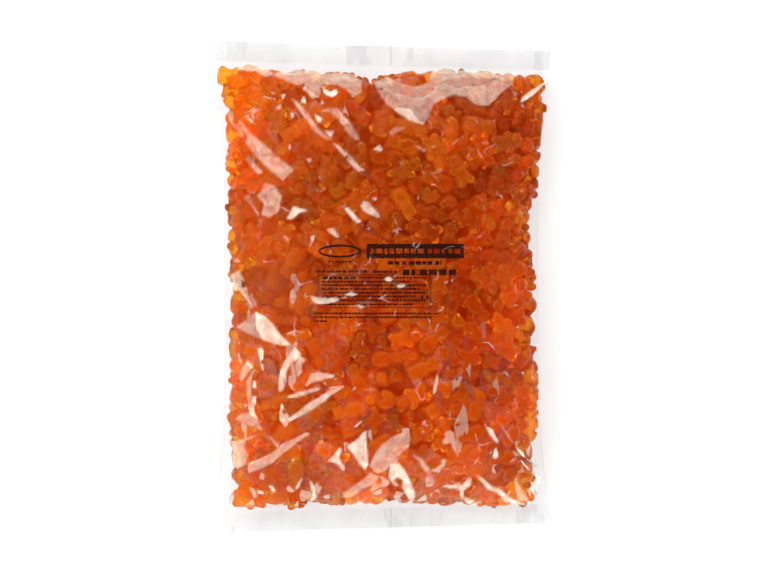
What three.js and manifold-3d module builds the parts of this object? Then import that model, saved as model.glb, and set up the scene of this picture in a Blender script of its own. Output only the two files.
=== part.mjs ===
// A clear pillow bag full of gummy bears, lying on its back.
//
// The bag is one closed solid: a soft pillow whose two ends are pressed flat into straight seals, with the
// bears that push against the film fused on as low relief. X runs across the bag, Y along it towards the top
// seal, and Z is up, away from the flat underside. The origin is under the middle of the bag. Millimetres.

import * as THREE from 'three';
import { mergeVertices } from 'three/addons/utils/BufferGeometryUtils.js';
import Module from 'manifold-3d';

const wasm = await Module();
wasm.setup();

// ---- driving dimensions -------------------------------------------------------------------------------

const FILM_WIDTH = 235; // across the flat end seals
const FILM_LENGTH = 336; // along the middle, from one cut edge to the other
const WAIST_WIDTH = 217; // where the filling has drawn the sides in
const BAG_HEIGHT = 57; // from the underside to the highest bear
const SEAL_BAND = 13; // the flat strip at each end, film on film
const SEAL_THICKNESS = 1.2;
const SEAL_HEIGHT = 9; // the cut edges stand this far off the table
const EDGE_HEIGHT = 21; // the side folds' height along the filled part
const SEAL_SLANT = 0.021; // the right side is this share shorter, and the left side longer
const FLARE_REACH = 50; // how far from an end the side folds draw in
const RISE_REACH = 62; // how far from an end the fold climbs from the cut edge to the filled part
const SHOULDER = 66; // how far from a seal the pillow reaches its full thickness

const BEAR_LENGTH = 24.5; // ears to feet
const BEAR_WIDTH = 13;
const BEAR_DEPTH = 10.5; // back to tummy
const BEAR_RELIEF = 4.4; // how far a bear stands out of the pillow
const BEAR_ROOT = 2.5; // how far it goes down into the pillow
const BEAR_TOP_WIDTH = 0.6; // its upper face against its outline at the root
const BEAR_TOP_LENGTH = 0.84;
const BEAR_APART = 14; // the least distance from one bear's head or hips to another's
const BEAR_PITCH = 12.5; // the grid on which places for bears are tried
const BEAR_TRIES = 8; // how many places are tried at each point of that grid
const ON_ITS_SIDE = 0.4; // the share of bears that lie on their side
const BEAR_SEED = 20240611;
const EMPTY_MARGIN = 10; // no bear's middle is nearer than this to the side folds or the seals

// ---- the pillow ---------------------------------------------------------------------------------------

const COLUMNS = 12;
const ROWS = 18;
const CROWDING = { across: 0.86, along: 0.8 }; // how much finer its faces are towards the edges, up to 1
const PILLOW_TOP = BAG_HEIGHT - BEAR_RELIEF - 0.4; // a bear on the slope of the crown stands 0.4 higher
const BELLY_REACH = EDGE_HEIGHT + 9; // deeper than the table, which flattens the underside

// How round each curve is: a larger power keeps it full for longer, and a root of it turns it over faster.
const FLARE_POWER = 1.6;
const SHOULDER_CURVE = { power: 2.3, root: 0.62 };
const CROWN_CURVE = { power: 2.5, root: 0.5 };
const BELLY_CURVE = { power: 4, root: 0.5 };

// The ripples of a cut edge: height, waves across half of it, and where they start.
const RIPPLES = [
  { height: 1.3, waves: 7.3, start: 0.6 },
  { height: 0.8, waves: 15.1, start: 2 },
];

const clamp = THREE.MathUtils.clamp;
const lerp = THREE.MathUtils.lerp;

// Spreads -1..1 so that it is finer towards both ends.
function crowdEnds(t, strength) {
  return Math.sin((t * strength * Math.PI) / 2) / Math.sin((strength * Math.PI) / 2);
}

// How far the side fold is from the middle line, at a distance from the nearer end.
function halfWidth(fromEnd) {
  const flare = Math.exp(-((fromEnd / FLARE_REACH) ** FLARE_POWER));
  return lerp(WAIST_WIDTH, FILM_WIDTH, flare) / 2;
}

// Falls from 1 at the middle, t = 0, to 0 at the rim, t = 1.
function dome(t, { power, root }) {
  return (1 - Math.abs(t) ** power) ** root;
}

// How full the pillow is there, from 0 in the seal to 1.
function fullness(fromEnd) {
  const inside = clamp((fromEnd - SEAL_BAND) / SHOULDER, 0, 1);
  return dome(1 - inside, SHOULDER_CURVE);
}

// The height of the fold between the upper and the lower film, rippled a little at the cut edges.
function foldHeight(across, fromEnd) {
  const inside = THREE.MathUtils.smoothstep(fromEnd, 0, RISE_REACH);
  const ripple = RIPPLES.reduce(
    (sum, { height, waves, start }) => sum + height * Math.sin(waves * across + start),
    0,
  );
  return lerp(SEAL_HEIGHT, EDGE_HEIGHT, inside) + (1 - inside) * ripple;
}

// A point of the pillow's skin. across and along run from -1 to 1, and side is 1 on top and -1 underneath.
function skinPoint(across, along, side, target = new THREE.Vector3()) {
  const fromEnd = (1 - Math.abs(along)) * (FILM_LENGTH / 2);
  const full = fullness(fromEnd);
  const fold = foldHeight(across, fromEnd);
  const crown = (PILLOW_TOP - EDGE_HEIGHT) * dome(across, CROWN_CURVE);
  const belly = BELLY_REACH * dome(across, BELLY_CURVE);
  const reach = side > 0 ? crown : belly;
  return target.set(
    across * halfWidth(fromEnd),
    (along * (1 - SEAL_SLANT * across) * FILM_LENGTH) / 2,
    Math.max(0, fold + side * (SEAL_THICKNESS / 2 + full * reach)),
  );
}

function skinNormal(across, along) {
  const step = 0.01; // of half the width or half the length
  const ahead = skinPoint(across, along + step, 1);
  const behind = skinPoint(across, along - step, 1);
  const right = skinPoint(across + step, along, 1);
  const left = skinPoint(across - step, along, 1);
  return right.sub(left).cross(ahead.sub(behind)).normalize();
}

function pillow() {
  const box = new THREE.BoxGeometry(2, 2, 2, COLUMNS, ROWS, 1);
  const place = box.getAttribute('position');
  const point = new THREE.Vector3();
  for (let i = 0; i < place.count; i += 1) {
    const across = crowdEnds(place.getX(i), CROWDING.across);
    const along = crowdEnds(place.getY(i), CROWDING.along);
    skinPoint(across, along, Math.sign(place.getZ(i)), point);
    place.setXYZ(i, point.x, point.y, point.z);
  }
  return box;
}

// ---- one gummy bear, as an outline that is pushed up out of the pillow ---------------------------------

// Half an outline of a bear that lies on its back, from between its ears to between its feet, as shares of
// its half width and half length.
const FACING_HALF = [
  [0, 0.86],
  [0.45, 1],
  [0.74, 0.78],
  [0.55, 0.36],
  [1, 0.1],
  [0.8, -0.3],
  [0.98, -0.78],
  [0.48, -1],
  [0, -0.84],
];

// A bear that lies on its side: ear, snout, neck, paw, tummy, foot, and its round back.
const PROFILE_OUTLINE = [
  [-0.35, 0.98],
  [0.15, 0.98],
  [0.9, 0.56],
  [0.4, 0.34],
  [0.95, 0.08],
  [0.7, -0.4],
  [1, -0.8],
  [0.5, -1],
  [-0.6, -0.86],
  [-0.95, -0.4],
  [-0.7, 0.3],
];

function facingOutline() {
  const left = FACING_HALF.slice(1, -1).map(([x, y]) => [-x, y]).reverse();
  return [...FACING_HALF, ...left];
}

// A bear, with its middle at the origin and Z pointing out of the pillow. It narrows towards its upper face.
function bearGeometry(outline, width) {
  const points = outline.map(([x, y]) => new THREE.Vector2((x * width) / 2, (y * BEAR_LENGTH) / 2));
  const bear = new THREE.ExtrudeGeometry(new THREE.Shape(points), {
    depth: BEAR_RELIEF + BEAR_ROOT,
    bevelEnabled: false,
    steps: 1,
  });
  const place = bear.getAttribute('position');
  for (let i = 0; i < place.count; i += 1) {
    if (place.getZ(i) > 0) {
      place.setXY(i, place.getX(i) * BEAR_TOP_WIDTH, place.getY(i) * BEAR_TOP_LENGTH);
    }
  }
  return bear.translate(0, 0, -BEAR_ROOT);
}

// ---- where the bears lie ------------------------------------------------------------------------------

// A small seeded generator of numbers from 0 to 1.
function seeded(seed) {
  let state = seed;
  return () => {
    state = (Math.imul(state, 1664525) + 1013904223) >>> 0;
    return state / 2 ** 32;
  };
}

// A bear is taken as two discs, its head and its hips, for keeping it clear of the others.
function discsOf(x, y, turn) {
  const reach = BEAR_LENGTH / 4;
  return [-1, 1].map((end) => [x - end * reach * Math.sin(turn), y + end * reach * Math.cos(turn)]);
}

function clearOf(discs, taken) {
  return taken.every(([u, v]) => discs.every(([x, y]) => Math.hypot(x - u, y - v) >= BEAR_APART));
}

function bearPlaces() {
  const random = seeded(BEAR_SEED);
  const taken = [];
  const places = [];
  const halfAcross = WAIST_WIDTH / 2 - EMPTY_MARGIN;
  const halfAlong = FILM_LENGTH / 2 - SEAL_BAND - EMPTY_MARGIN;
  for (let y = -halfAlong; y <= halfAlong; y += BEAR_PITCH) {
    for (let x = -halfAcross; x <= halfAcross; x += BEAR_PITCH) {
      for (let attempt = 0; attempt < BEAR_TRIES; attempt += 1) {
        const spotX = clamp(x + (random() - 0.5) * BEAR_PITCH, -halfAcross, halfAcross);
        const spotY = clamp(y + (random() - 0.5) * BEAR_PITCH, -halfAlong, halfAlong);
        const turn = random() * 2 * Math.PI;
        const onItsSide = random() < ON_ITS_SIDE;
        const discs = discsOf(spotX, spotY, turn);
        if (clearOf(discs, taken)) {
          taken.push(...discs);
          places.push({ x: spotX, y: spotY, turn, onItsSide });
          break;
        }
      }
    }
  }
  return places;
}

// The place and the tilt of a bear on the skin, as a matrix.
function bearMatrix({ x, y, turn }) {
  const along = y / (FILM_LENGTH / 2);
  const across = x / halfWidth((1 - Math.abs(along)) * (FILM_LENGTH / 2));
  const flatAlong = along / (1 - SEAL_SLANT * across);
  const normal = skinNormal(across, flatAlong);
  const upright = new THREE.Quaternion().setFromUnitVectors(new THREE.Vector3(0, 0, 1), normal);
  const turned = upright.multiply(
    new THREE.Quaternion().setFromAxisAngle(new THREE.Vector3(0, 0, 1), turn),
  );
  const place = skinPoint(across, flatAlong, 1);
  return new THREE.Matrix4().compose(place, turned, new THREE.Vector3(1, 1, 1));
}

// ---- solids -------------------------------------------------------------------------------------------

const MERGE_WITHIN = 1e-4;

function toSolid(geometry) {
  const bare = geometry.clone().deleteAttribute('normal').deleteAttribute('uv');
  const merged = mergeVertices(bare, MERGE_WITHIN);
  return new wasm.Manifold(
    new wasm.Mesh({
      numProp: 3,
      vertProperties: new Float32Array(merged.attributes.position.array),
      triVerts: new Uint32Array(merged.index.array),
    }),
  );
}

function toGeometry(solid) {
  const { vertProperties, triVerts } = solid.getMesh();
  const geometry = new THREE.BufferGeometry();
  geometry.setAttribute('position', new THREE.BufferAttribute(new Float32Array(vertProperties), 3));
  geometry.setIndex(new THREE.BufferAttribute(new Uint32Array(triVerts), 1));
  geometry.computeVertexNormals();
  return geometry;
}

function bagSolid() {
  const facing = bearGeometry(facingOutline(), BEAR_WIDTH);
  const profile = bearGeometry(PROFILE_OUTLINE, BEAR_DEPTH);
  let solid = toSolid(pillow());
  for (const place of bearPlaces()) {
    const shape = place.onItsSide ? profile : facing;
    solid = solid.add(toSolid(shape.clone().applyMatrix4(bearMatrix(place))));
  }
  return solid;
}

// ---- the part -----------------------------------------------------------------------------------------

const gummyInFilm = new THREE.MeshStandardMaterial({
  name: 'gummy_in_film',
  color: 0xc8551a,
  roughness: 0.22,
  metalness: 0,
});

const bag = new THREE.Mesh(toGeometry(bagSolid()), gummyInFilm);
bag.name = 'bag';

const group = new THREE.Group();
group.name = 'bag_of_gummy_bears';
group.add(bag);

export default group;
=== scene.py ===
"""Looks of a clear pillow bag of orange gummy bears that lies on its back.

The bag's CAD solid is replaced by what it stands for: 980 loose gummy bears, packed against each other,
and the creased clear film round them, with plain dark print on its upper side. Lengths are in millimetres
in the code that works them out, and in metres in every Blender mesh.
"""

import logging
import math
from collections.abc import Iterable, Sequence
from dataclasses import dataclass, field
from enum import Enum

import bmesh
import bpy
import numpy as np
from mathutils import Matrix, Vector
from mathutils.bvhtree import BVHTree


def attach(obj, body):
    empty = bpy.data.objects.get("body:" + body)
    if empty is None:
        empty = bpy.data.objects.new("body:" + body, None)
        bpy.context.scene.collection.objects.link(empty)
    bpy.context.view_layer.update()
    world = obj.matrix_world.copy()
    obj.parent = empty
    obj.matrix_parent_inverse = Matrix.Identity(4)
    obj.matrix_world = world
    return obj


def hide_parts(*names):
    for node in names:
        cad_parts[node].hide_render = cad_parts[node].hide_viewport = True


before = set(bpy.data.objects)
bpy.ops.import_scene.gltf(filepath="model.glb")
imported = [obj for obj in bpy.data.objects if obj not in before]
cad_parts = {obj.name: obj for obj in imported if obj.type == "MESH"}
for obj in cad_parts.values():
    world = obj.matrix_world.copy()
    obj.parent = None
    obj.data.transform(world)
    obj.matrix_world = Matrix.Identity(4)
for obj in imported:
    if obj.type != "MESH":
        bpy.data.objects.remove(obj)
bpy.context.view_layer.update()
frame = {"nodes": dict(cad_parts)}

MM = 0.001
BODY = "root"
MAP_STEP = 2.0
NODE = "bag"

Array = np.ndarray
Colour = tuple[float, float, float]
log = logging.getLogger("bag_of_gummy_bears")


# ---- shader graphs --------------------------------------------------------------------------------------


class Signal:
    """A value in a shader graph. Arithmetic on it adds Math nodes."""

    def __init__(self, graph: "Graph", socket: bpy.types.NodeSocket) -> None:
        """Args: graph: the graph it is in. socket: the output that it stands for."""
        self.graph = graph
        self.socket = socket

    def _math(self, operation: str, *values: "Signal | float", clamp: bool = False) -> "Signal":
        """Adds one Math node.

        Args:
            operation: the node's operation.
            values: its inputs in order.
            clamp: whether its result is kept from 0 to 1.

        Returns:
            The node's result.
        """
        settings = {"operation": operation, "use_clamp": clamp}
        return self.graph.node("ShaderNodeMath", settings, dict(enumerate(values)))

    def __add__(self, other: "Signal | float") -> "Signal":
        """Returns the sum."""
        return self._math("ADD", self, other)

    def __sub__(self, other: "Signal | float") -> "Signal":
        """Returns the difference."""
        return self._math("SUBTRACT", self, other)

    def __rsub__(self, other: float) -> "Signal":
        """Returns a number less this value."""
        return self._math("SUBTRACT", other, self)

    def __mul__(self, other: "Signal | float") -> "Signal":
        """Returns the product."""
        return self._math("MULTIPLY", self, other)

    def __truediv__(self, other: "Signal | float") -> "Signal":
        """Returns the quotient."""
        return self._math("DIVIDE", self, other)

    def __pow__(self, other: "Signal | float") -> "Signal":
        """Returns the power."""
        return self._math("POWER", self, other)

    __radd__ = __add__
    __rmul__ = __mul__

    def clamped(self) -> "Signal":
        """Returns this value kept from 0 to 1."""
        return self._math("ADD", self, 0.0, clamp=True)

    def absolute(self) -> "Signal":
        """Returns this value without its sign."""
        return self._math("ABSOLUTE", self)

    def at_most(self, most: float) -> "Signal":
        """Returns this value kept down to the most that it may be."""
        return self._math("MINIMUM", self, most)

    def first(self) -> "Signal":
        """Returns the first channel of a colour."""
        return self.graph.node("ShaderNodeSeparateColor", None, {0: self})

    def ramp(self, start: float, end: float) -> "Signal":
        """Returns a smooth 0 to 1 as this value goes from start to end."""
        settings = {"interpolation_type": "SMOOTHSTEP"}
        return self.graph.node("ShaderNodeMapRange", settings, {"Value": self, 1: start, 2: end})


class Graph:
    """The node tree of one new material."""

    def __init__(self, name: str) -> None:
        """Args: name: the material's name."""
        self.material = bpy.data.materials.new(name)
        self.material.use_nodes = True
        self.tree = self.material.node_tree
        self.tree.nodes.clear()

    def node(
        self,
        kind: str,
        settings: dict[str, object] | None = None,
        inputs: dict[str | int, object] | None = None,
        output: str | int = 0,
    ) -> Signal:
        """Adds any node.

        Args:
            kind: the node's type.
            settings: its own properties, which are set first.
            inputs: what its sockets get, by name or by number: values or signals.
            output: the output that is wanted.

        Returns:
            That output.
        """
        made = self.tree.nodes.new(kind)
        for name, value in (settings or {}).items():
            setattr(made, name, value)
        for name, value in (inputs or {}).items():
            socket = made.inputs[name]
            if isinstance(value, Signal):
                self.tree.links.new(value.socket, socket)
            elif isinstance(value, tuple) and socket.type == "RGBA":
                socket.default_value = (*value, 1.0)
            else:
                socket.default_value = value
        return Signal(self, made.outputs[output])

    def painted(self, name: str) -> Signal:
        """Returns the number that the mesh carries under that name."""
        return self.node("ShaderNodeAttribute", {"attribute_name": name}, output="Fac")

    def noise(
        self, place: Signal, scale: float, detail: float, distortion: float = 0.0, output: int = 0
    ) -> Signal:
        """Adds a cloudy pattern.

        Args:
            place: where it is read.
            scale: how fine it is.
            detail: how many finer layers it has.
            distortion: how much it is warped.
            output: 0 for its strength and 1 for its colour.

        Returns:
            The pattern.
        """
        inputs = {"Vector": place, "Scale": scale, "Detail": detail, "Distortion": distortion}
        return self.node("ShaderNodeTexNoise", None, inputs, output)

    def principled(self, look: dict[str, object]) -> Signal:
        """Returns a principled shader with that look."""
        return self.node("ShaderNodeBsdfPrincipled", None, look)

    def mix_colour(self, share: Signal | float, first: object, second: object) -> Signal:
        """Returns the mix of two colours."""
        settings = {"data_type": "RGBA", "clamp_factor": True}
        return self.node("ShaderNodeMix", settings, {0: share, 6: first, 7: second}, output=2)

    def mix_shader(self, share: Signal | float, first: Signal, second: Signal) -> Signal:
        """Returns the mix of two shaders."""
        return self.node("ShaderNodeMixShader", None, {0: share, 1: first, 2: second})

    def finish(self, surface: Signal) -> bpy.types.Material:
        """Links the surface to the output.

        Args:
            surface: the shader that the material ends in.

        Returns:
            The material.
        """
        output = self.tree.nodes.new("ShaderNodeOutputMaterial")
        self.tree.links.new(surface.socket, output.inputs["Surface"])
        return self.material


# ---- finishes -------------------------------------------------------------------------------------------

TONE_AND_SHADE_ATTRIBUTE = "bear_hue"
LIT_ATTRIBUTE = "bear_lit"
PAINTED_YELLOW_LIGHT_ATTRIBUTE = "bear_warm"
PRESSED_ATTRIBUTE = "bear_pressed"
GLOSS_ATTRIBUTE = "film_gloss"
LOOSE_ATTRIBUTE = "film_loose"
SEAL_ATTRIBUTE = "film_seal"


@dataclass(frozen=True)
class Gummy:
    """Clear orange jelly, deep where thick, a little cloudy inside, with painted shade, rim light, glow and
    yellow light.
    """

    deep: Colour = (0.7, 0.13, 0.003)
    bright: Colour = (1.0, 0.38, 0.02)
    # painted yellow light: the tone that bears turn to where light is taken to shine through thin jelly
    painted_yellow_light: Colour = (0.86, 0.43, 0.018)
    near: Colour = (0.8, 0.115, 0.003)
    near_bright: Colour = (0.96, 0.22, 0.006)
    near_painted_yellow_light: Colour = (0.86, 0.25, 0.009)
    near_transmission: float = 0.6
    # painted rim light: the lighter colour that the jelly turns to at grazing angles
    rim: Colour = (1.0, 0.42, 0.08)
    # painted glow: emission that stands in for light diffusing through the jelly, lighter at the rims where
    # it fills the shade between bears
    painted_glow: Colour = (1.0, 0.15, 0.003)
    painted_rim_glow: Colour = (1.0, 0.24, 0.02)
    painted_glow_strength: float = 0.06
    roughness: float = 0.14
    transmission: float = 0.88
    ior: float = 1.33
    shine: Colour = (1.0, 0.45, 0.15)
    scatter: Colour = (1.0, 0.3, 0.06)
    scatter_scale: float = 9 * MM
    cloud_scale: float = 160.0
    grain_scale: float = 520.0
    dimple: float = 0.5 * MM
    painted_rim_sharpness: float = 3.0
    painted_rim_strength: float = 0.6
    tone_and_shade_weight: float = 0.8
    cloud_weight: float = 1.7
    grain_weight: float = 0.8
    least_bright: float = 0.1
    roughness_spread: float = 0.12

    def build(self) -> bpy.types.Material:
        """Returns the material."""
        graph = Graph("gummy_jelly")
        place = graph.node("ShaderNodeTexCoord", output="Object")
        # hue: the bear's random tone, less painted shade at the right of the middle
        hue = graph.painted(TONE_AND_SHADE_ATTRIBUTE)
        cloud = graph.noise(place, self.cloud_scale, 3.0)
        grain = graph.noise(place, self.grain_scale, 3.0)
        dimpled = {"Strength": 0.5, "Distance": self.dimple, "Height": grain}
        bump = graph.node("ShaderNodeBump", None, dimpled)
        slant = graph.node("ShaderNodeLayerWeight", None, {"Blend": 0.5, "Normal": bump}, output="Facing")
        # painted rim light: how much the colour is lightened towards the bear's rims
        edge = (slant**self.painted_rim_sharpness * self.painted_rim_strength).clamped()
        mottle = hue * self.tone_and_shade_weight + (cloud - 0.5) * self.cloud_weight
        share = (mottle + (grain - 0.5) * self.grain_weight + self.least_bright).clamped()
        # painted yellow light: the tone turns yellower where light is taken to shine through
        painted_yellow_light = graph.painted(PAINTED_YELLOW_LIGHT_ATTRIBUTE)
        body = graph.mix_colour(painted_yellow_light, graph.mix_colour(share, self.deep, self.bright), self.painted_yellow_light)
        colour = graph.mix_colour(edge, body, self.rim)
        # painted glow: emission, lighter at the rims, scaled by how much light each bear is taken to get
        lit = graph.painted(LIT_ATTRIBUTE)
        painted_glow = graph.mix_colour(edge, self.painted_glow, self.painted_rim_glow)
        painted_glow = graph.node("ShaderNodeVectorMath", {"operation": "SCALE"}, {0: painted_glow, "Scale": lit})
        pressed = graph.painted(PRESSED_ATTRIBUTE)
        common = {
            "Roughness": cloud * self.roughness_spread + (self.roughness - self.roughness_spread / 2),
            "IOR": self.ior,
            "Specular Tint": self.shine,
            "Subsurface Weight": 1.0,
            "Subsurface Radius": self.scatter,
            "Subsurface Scale": self.scatter_scale,
            "Emission Color": painted_glow,
            "Emission Strength": self.painted_glow_strength,
            "Normal": bump,
        }
        clear = {"Base Color": colour, "Transmission Weight": self.transmission, **common}
        near = graph.mix_colour(painted_yellow_light, graph.mix_colour(share, self.near, self.near_bright), self.near_painted_yellow_light)
        cloudy = {"Base Color": near, "Transmission Weight": self.near_transmission, **common}
        inner = graph.principled(clear)
        outer = graph.principled(cloudy)
        return graph.finish(graph.mix_shader(pressed, inner, outer))


@dataclass(frozen=True)
class ClearFilm:
    """Thin crisp clear film: it lets light straight through and mirrors a little of it."""

    ior: float = 1.5
    straight_on: float = 0.04
    tint: Colour = (0.985, 0.985, 0.985)
    mirrored: Colour = (1.0, 0.98, 0.8)
    seal_tint: Colour = (0.85, 0.854, 0.86)
    lap: float = 6.5 * MM
    roughness: float = 0.06
    veil: float = 0.034
    fleck: float = 0.2
    least: float = 0.0014
    crease_turn: float = 0.6
    scuffed: float = 0.22
    scuff_colour: Colour = (0.9, 0.9, 0.9)
    crinkle_scale: float = 190.0
    crinkle_depth: float = 0.3 * MM
    crease_stretch: float = 0.32
    facet_scale: float = 60.0
    facet_tilt: float = 0.22
    shard_scale: float = 190.0
    shard_tilt: float = 0.3
    streak_scale: float = 75.0
    wrinkle_scale: float = 520.0
    most_slant: float = 2.5

    def build(self) -> bpy.types.Material:
        """Returns the material."""
        graph = Graph("clear_film")
        place = graph.node("ShaderNodeTexCoord", output="Object")
        crinkle = graph.noise(place, self.crinkle_scale, 2.0)
        bumped = {"Strength": 0.25, "Distance": self.crinkle_depth, "Height": crinkle}
        bump = graph.node("ShaderNodeBump", None, bumped)
        gloss = graph.painted(GLOSS_ATTRIBUTE)
        loose = graph.painted(LOOSE_ATTRIBUTE)
        seal = graph.painted(SEAL_ATTRIBUTE)
        turn, stretch = (0.0, 0.0, self.crease_turn), (1, self.crease_stretch, 1)
        mapped = {"Vector": place, "Rotation": turn, "Scale": stretch}
        creased = graph.node("ShaderNodeMapping", None, mapped)
        facets = self._facets(graph, creased, self.facet_scale)
        shards = self._facets(graph, creased, self.shard_scale)
        normal = self._tilted(graph, bump, facets, loose * self.facet_tilt)
        normal = self._tilted(graph, normal, shards, loose * self.shard_tilt)
        slant = graph.node("ShaderNodeFresnel", None, {"IOR": self.ior, "Normal": bump})
        metal = {"Base Color": self.mirrored, "Metallic": 1.0, "Roughness": self.roughness}
        mirror = graph.principled({**metal, "Normal": normal})
        streak = graph.noise(place, self.streak_scale, 4.0, 1.5)
        wrinkle = graph.noise(creased, self.wrinkle_scale, 3.0, 0.6)
        uneven = (streak.ramp(0.3, 0.7) * 0.55 + 0.68) * (wrinkle.ramp(0.36, 0.62) * 0.24 + 0.86)
        flecks = facets.first() * self.veil + shards.first().ramp(0.9, 0.93) * self.fleck
        layers = gloss * uneven + loose * flecks
        clear = graph.node("ShaderNodeBsdfTransparent", None, {"Color": self.tint})
        welded = graph.node("ShaderNodeBsdfTransparent", None, {"Color": self.seal_tint})
        through = graph.mix_shader(seal * self._folds(graph, place), clear, welded)
        whitened = {"Base Color": self.scuff_colour, "Roughness": 0.6, "Specular IOR Level": 0.2}
        scuff = graph.principled(whitened)
        through = graph.mix_shader(self._scuffs(graph, place) * self.scuffed, through, scuff)
        raised = (slant / self.straight_on).at_most(self.most_slant)
        share = (raised * (layers + self.least)).clamped()
        return graph.finish(graph.mix_shader(share, through, mirror))

    @staticmethod
    def _scuffs(graph: Graph, place: Signal) -> Signal:
        """Finds where the film has whitened along thin, broken, curved creases.

        Args:
            graph: the graph.
            place: the place on the film.

        Returns:
            How white it is, from 0 to 1.
        """
        off = (graph.noise(place, 45.0, 1.0, 0.5) - 0.5).absolute()
        where = graph.noise(place, 90.0, 2.0)
        return off.ramp(0.012, 0.004) * where.ramp(0.55, 0.64)

    def _folds(self, graph: Graph, place: Signal) -> Signal:
        """Finds how dense the welded ends look: faint pleats, cloudy patches and the lap of the back seam.

        Args:
            graph: the graph.
            place: the place on the film.

        Returns:
            The density, from 0 to 1.
        """
        stretched = graph.node("ShaderNodeMapping", None, {"Vector": place, "Scale": (1, 0.25, 1)})
        pleat = graph.noise(stretched, 60.0, 3.0)
        cloud = graph.noise(place, 28.0, 2.0)
        along = graph.node("ShaderNodeSeparateXYZ", None, {0: place})
        lap = (along - self.lap).absolute().ramp(0.9 * MM, 0.3 * MM)
        dense = pleat.ramp(0.56, 0.66) * 0.45 + cloud.ramp(0.35, 0.7) * 0.35
        return (dense + lap * 0.6 + 0.2).clamped()

    @staticmethod
    def _facets(graph: Graph, place: Signal, scale: float) -> Signal:
        """Gives each flat facet of crumpled film a colour at random.

        Args:
            graph: the graph.
            place: the place on the film.
            scale: how many facets there are to the metre.

        Returns:
            The colour.
        """
        warp = graph.noise(place, scale / 3, 1.0, output=1)
        shift = graph.node("ShaderNodeVectorMath", {"operation": "SCALE"}, {0: warp, "Scale": 0.4 / scale})
        moved = graph.node("ShaderNodeVectorMath", {"operation": "ADD"}, {0: place, 1: shift})
        settings = {"Vector": moved, "Scale": scale, "Randomness": 1.0}
        return graph.node("ShaderNodeTexVoronoi", None, settings, "Color")

    @staticmethod
    def _tilted(graph: Graph, normal: Signal, facets: Signal, amount: Signal) -> Signal:
        """Tilts the normal at random on each facet.

        Args:
            graph: the graph.
            normal: the normal to start from.
            facets: the facets' colours.
            amount: how much they are tilted.

        Returns:
            The new normal.
        """
        middle = (0.5, 0.5, 0.5)
        centred = graph.node("ShaderNodeVectorMath", {"operation": "SUBTRACT"}, {0: facets, 1: middle})
        tilt = graph.node("ShaderNodeVectorMath", {"operation": "SCALE"}, {0: centred, "Scale": amount})
        summed = graph.node("ShaderNodeVectorMath", {"operation": "ADD"}, {0: normal, 1: tilt})
        return graph.node("ShaderNodeVectorMath", {"operation": "NORMALIZE"}, {0: summed})


@dataclass(frozen=True)
class Ink:
    """Thin dark print on the film."""

    colour: Colour = (0.012, 0.003, 0.001)
    wear_scale: float = 900.0
    roughness: float = 0.5
    wear_roughness: float = 0.2
    sheen: float = 0.05
    least_cover: float = 0.82
    wear_cover: float = 0.16

    def build(self) -> bpy.types.Material:
        """Returns the material."""
        graph = Graph("print_ink")
        place = graph.node("ShaderNodeTexCoord", output="Object")
        wear = graph.noise(place, self.wear_scale, 2.0)
        look = {
            "Base Color": self.colour,
            "Roughness": wear * self.wear_roughness + self.roughness,
            "Specular IOR Level": self.sheen,
            "Alpha": wear.ramp(0.3, 0.55) * self.wear_cover + self.least_cover,
        }
        return graph.finish(graph.principled(look))


@dataclass(frozen=True)
class Tabletop:
    """The plain pale surface under the bag."""

    colour: Colour = (0.42, 0.42, 0.42)
    lift: float = 0.54
    roughness: float = 0.9

    def build(self) -> bpy.types.Material:
        """Returns the material."""
        graph = Graph("pale_tabletop")
        look = {
            "Base Color": self.colour,
            "Roughness": self.roughness,
            "Emission Color": (1.0, 1.0, 1.0),
            "Emission Strength": self.lift,
        }
        return graph.finish(graph.principled(look))


# ---- the form of the filled bag -------------------------------------------------------------------------


@dataclass(frozen=True)
class HeightField:
    """A map of values over a rectangle, in millimetres."""

    low: tuple[float, float]
    step: float
    values: Array

    @staticmethod
    def places(half_x: float, half_y: float, step: float) -> tuple[Array, Array]:
        """Lays the points of a map round the origin out.

        Args:
            half_x: how far the map reaches along X.
            half_y: how far it reaches along Y.
            step: the distance between its points.

        Returns:
            The X and the Y of every point.
        """
        xs = np.arange(-half_x, half_x + step / 2, step)
        ys = np.arange(-half_y, half_y + step / 2, step)
        return tuple(np.meshgrid(xs, ys, indexing="ij"))

    def at(self, x: Array, y: Array) -> Array:
        """Reads the map, evened out between its points.

        Args:
            x: the X of the places.
            y: their Y.

        Returns:
            The values there.
        """
        u = np.clip((x - self.low[0]) / self.step, 0, self.values.shape[0] - 1.001)
        v = np.clip((y - self.low[1]) / self.step, 0, self.values.shape[1] - 1.001)
        i, j = u.astype(int), v.astype(int)
        p, q = u - i, v - j
        if self.values.ndim == 3:
            p, q = p[..., None], q[..., None]
        grid = self.values
        near = grid[i, j] * (1 - p) + grid[i + 1, j] * p
        far = grid[i, j + 1] * (1 - p) + grid[i + 1, j + 1] * p
        return near * (1 - q) + far * q

    def normals(self) -> "HeightField":
        """Returns the map of unit normals that point up out of this map's surface."""
        slope_x, slope_y = np.gradient(self.values, self.step)
        normal = np.stack([-slope_x, -slope_y, np.ones_like(slope_x)], -1)
        normal /= np.linalg.norm(normal, axis=-1, keepdims=True)
        return HeightField(self.low, self.step, normal)


def smooth_step(t: Array) -> Array:
    """Returns a smooth 0 to 1 as t goes from 0 to 1."""
    t = np.clip(t, 0, 1)
    return t * t * (3 - 2 * t)


def eased(values: Array, start: float, end: float) -> Array:
    """Returns a smooth 0 to 1 as the values go from start to end."""
    return smooth_step((values - start) / (end - start))


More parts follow.
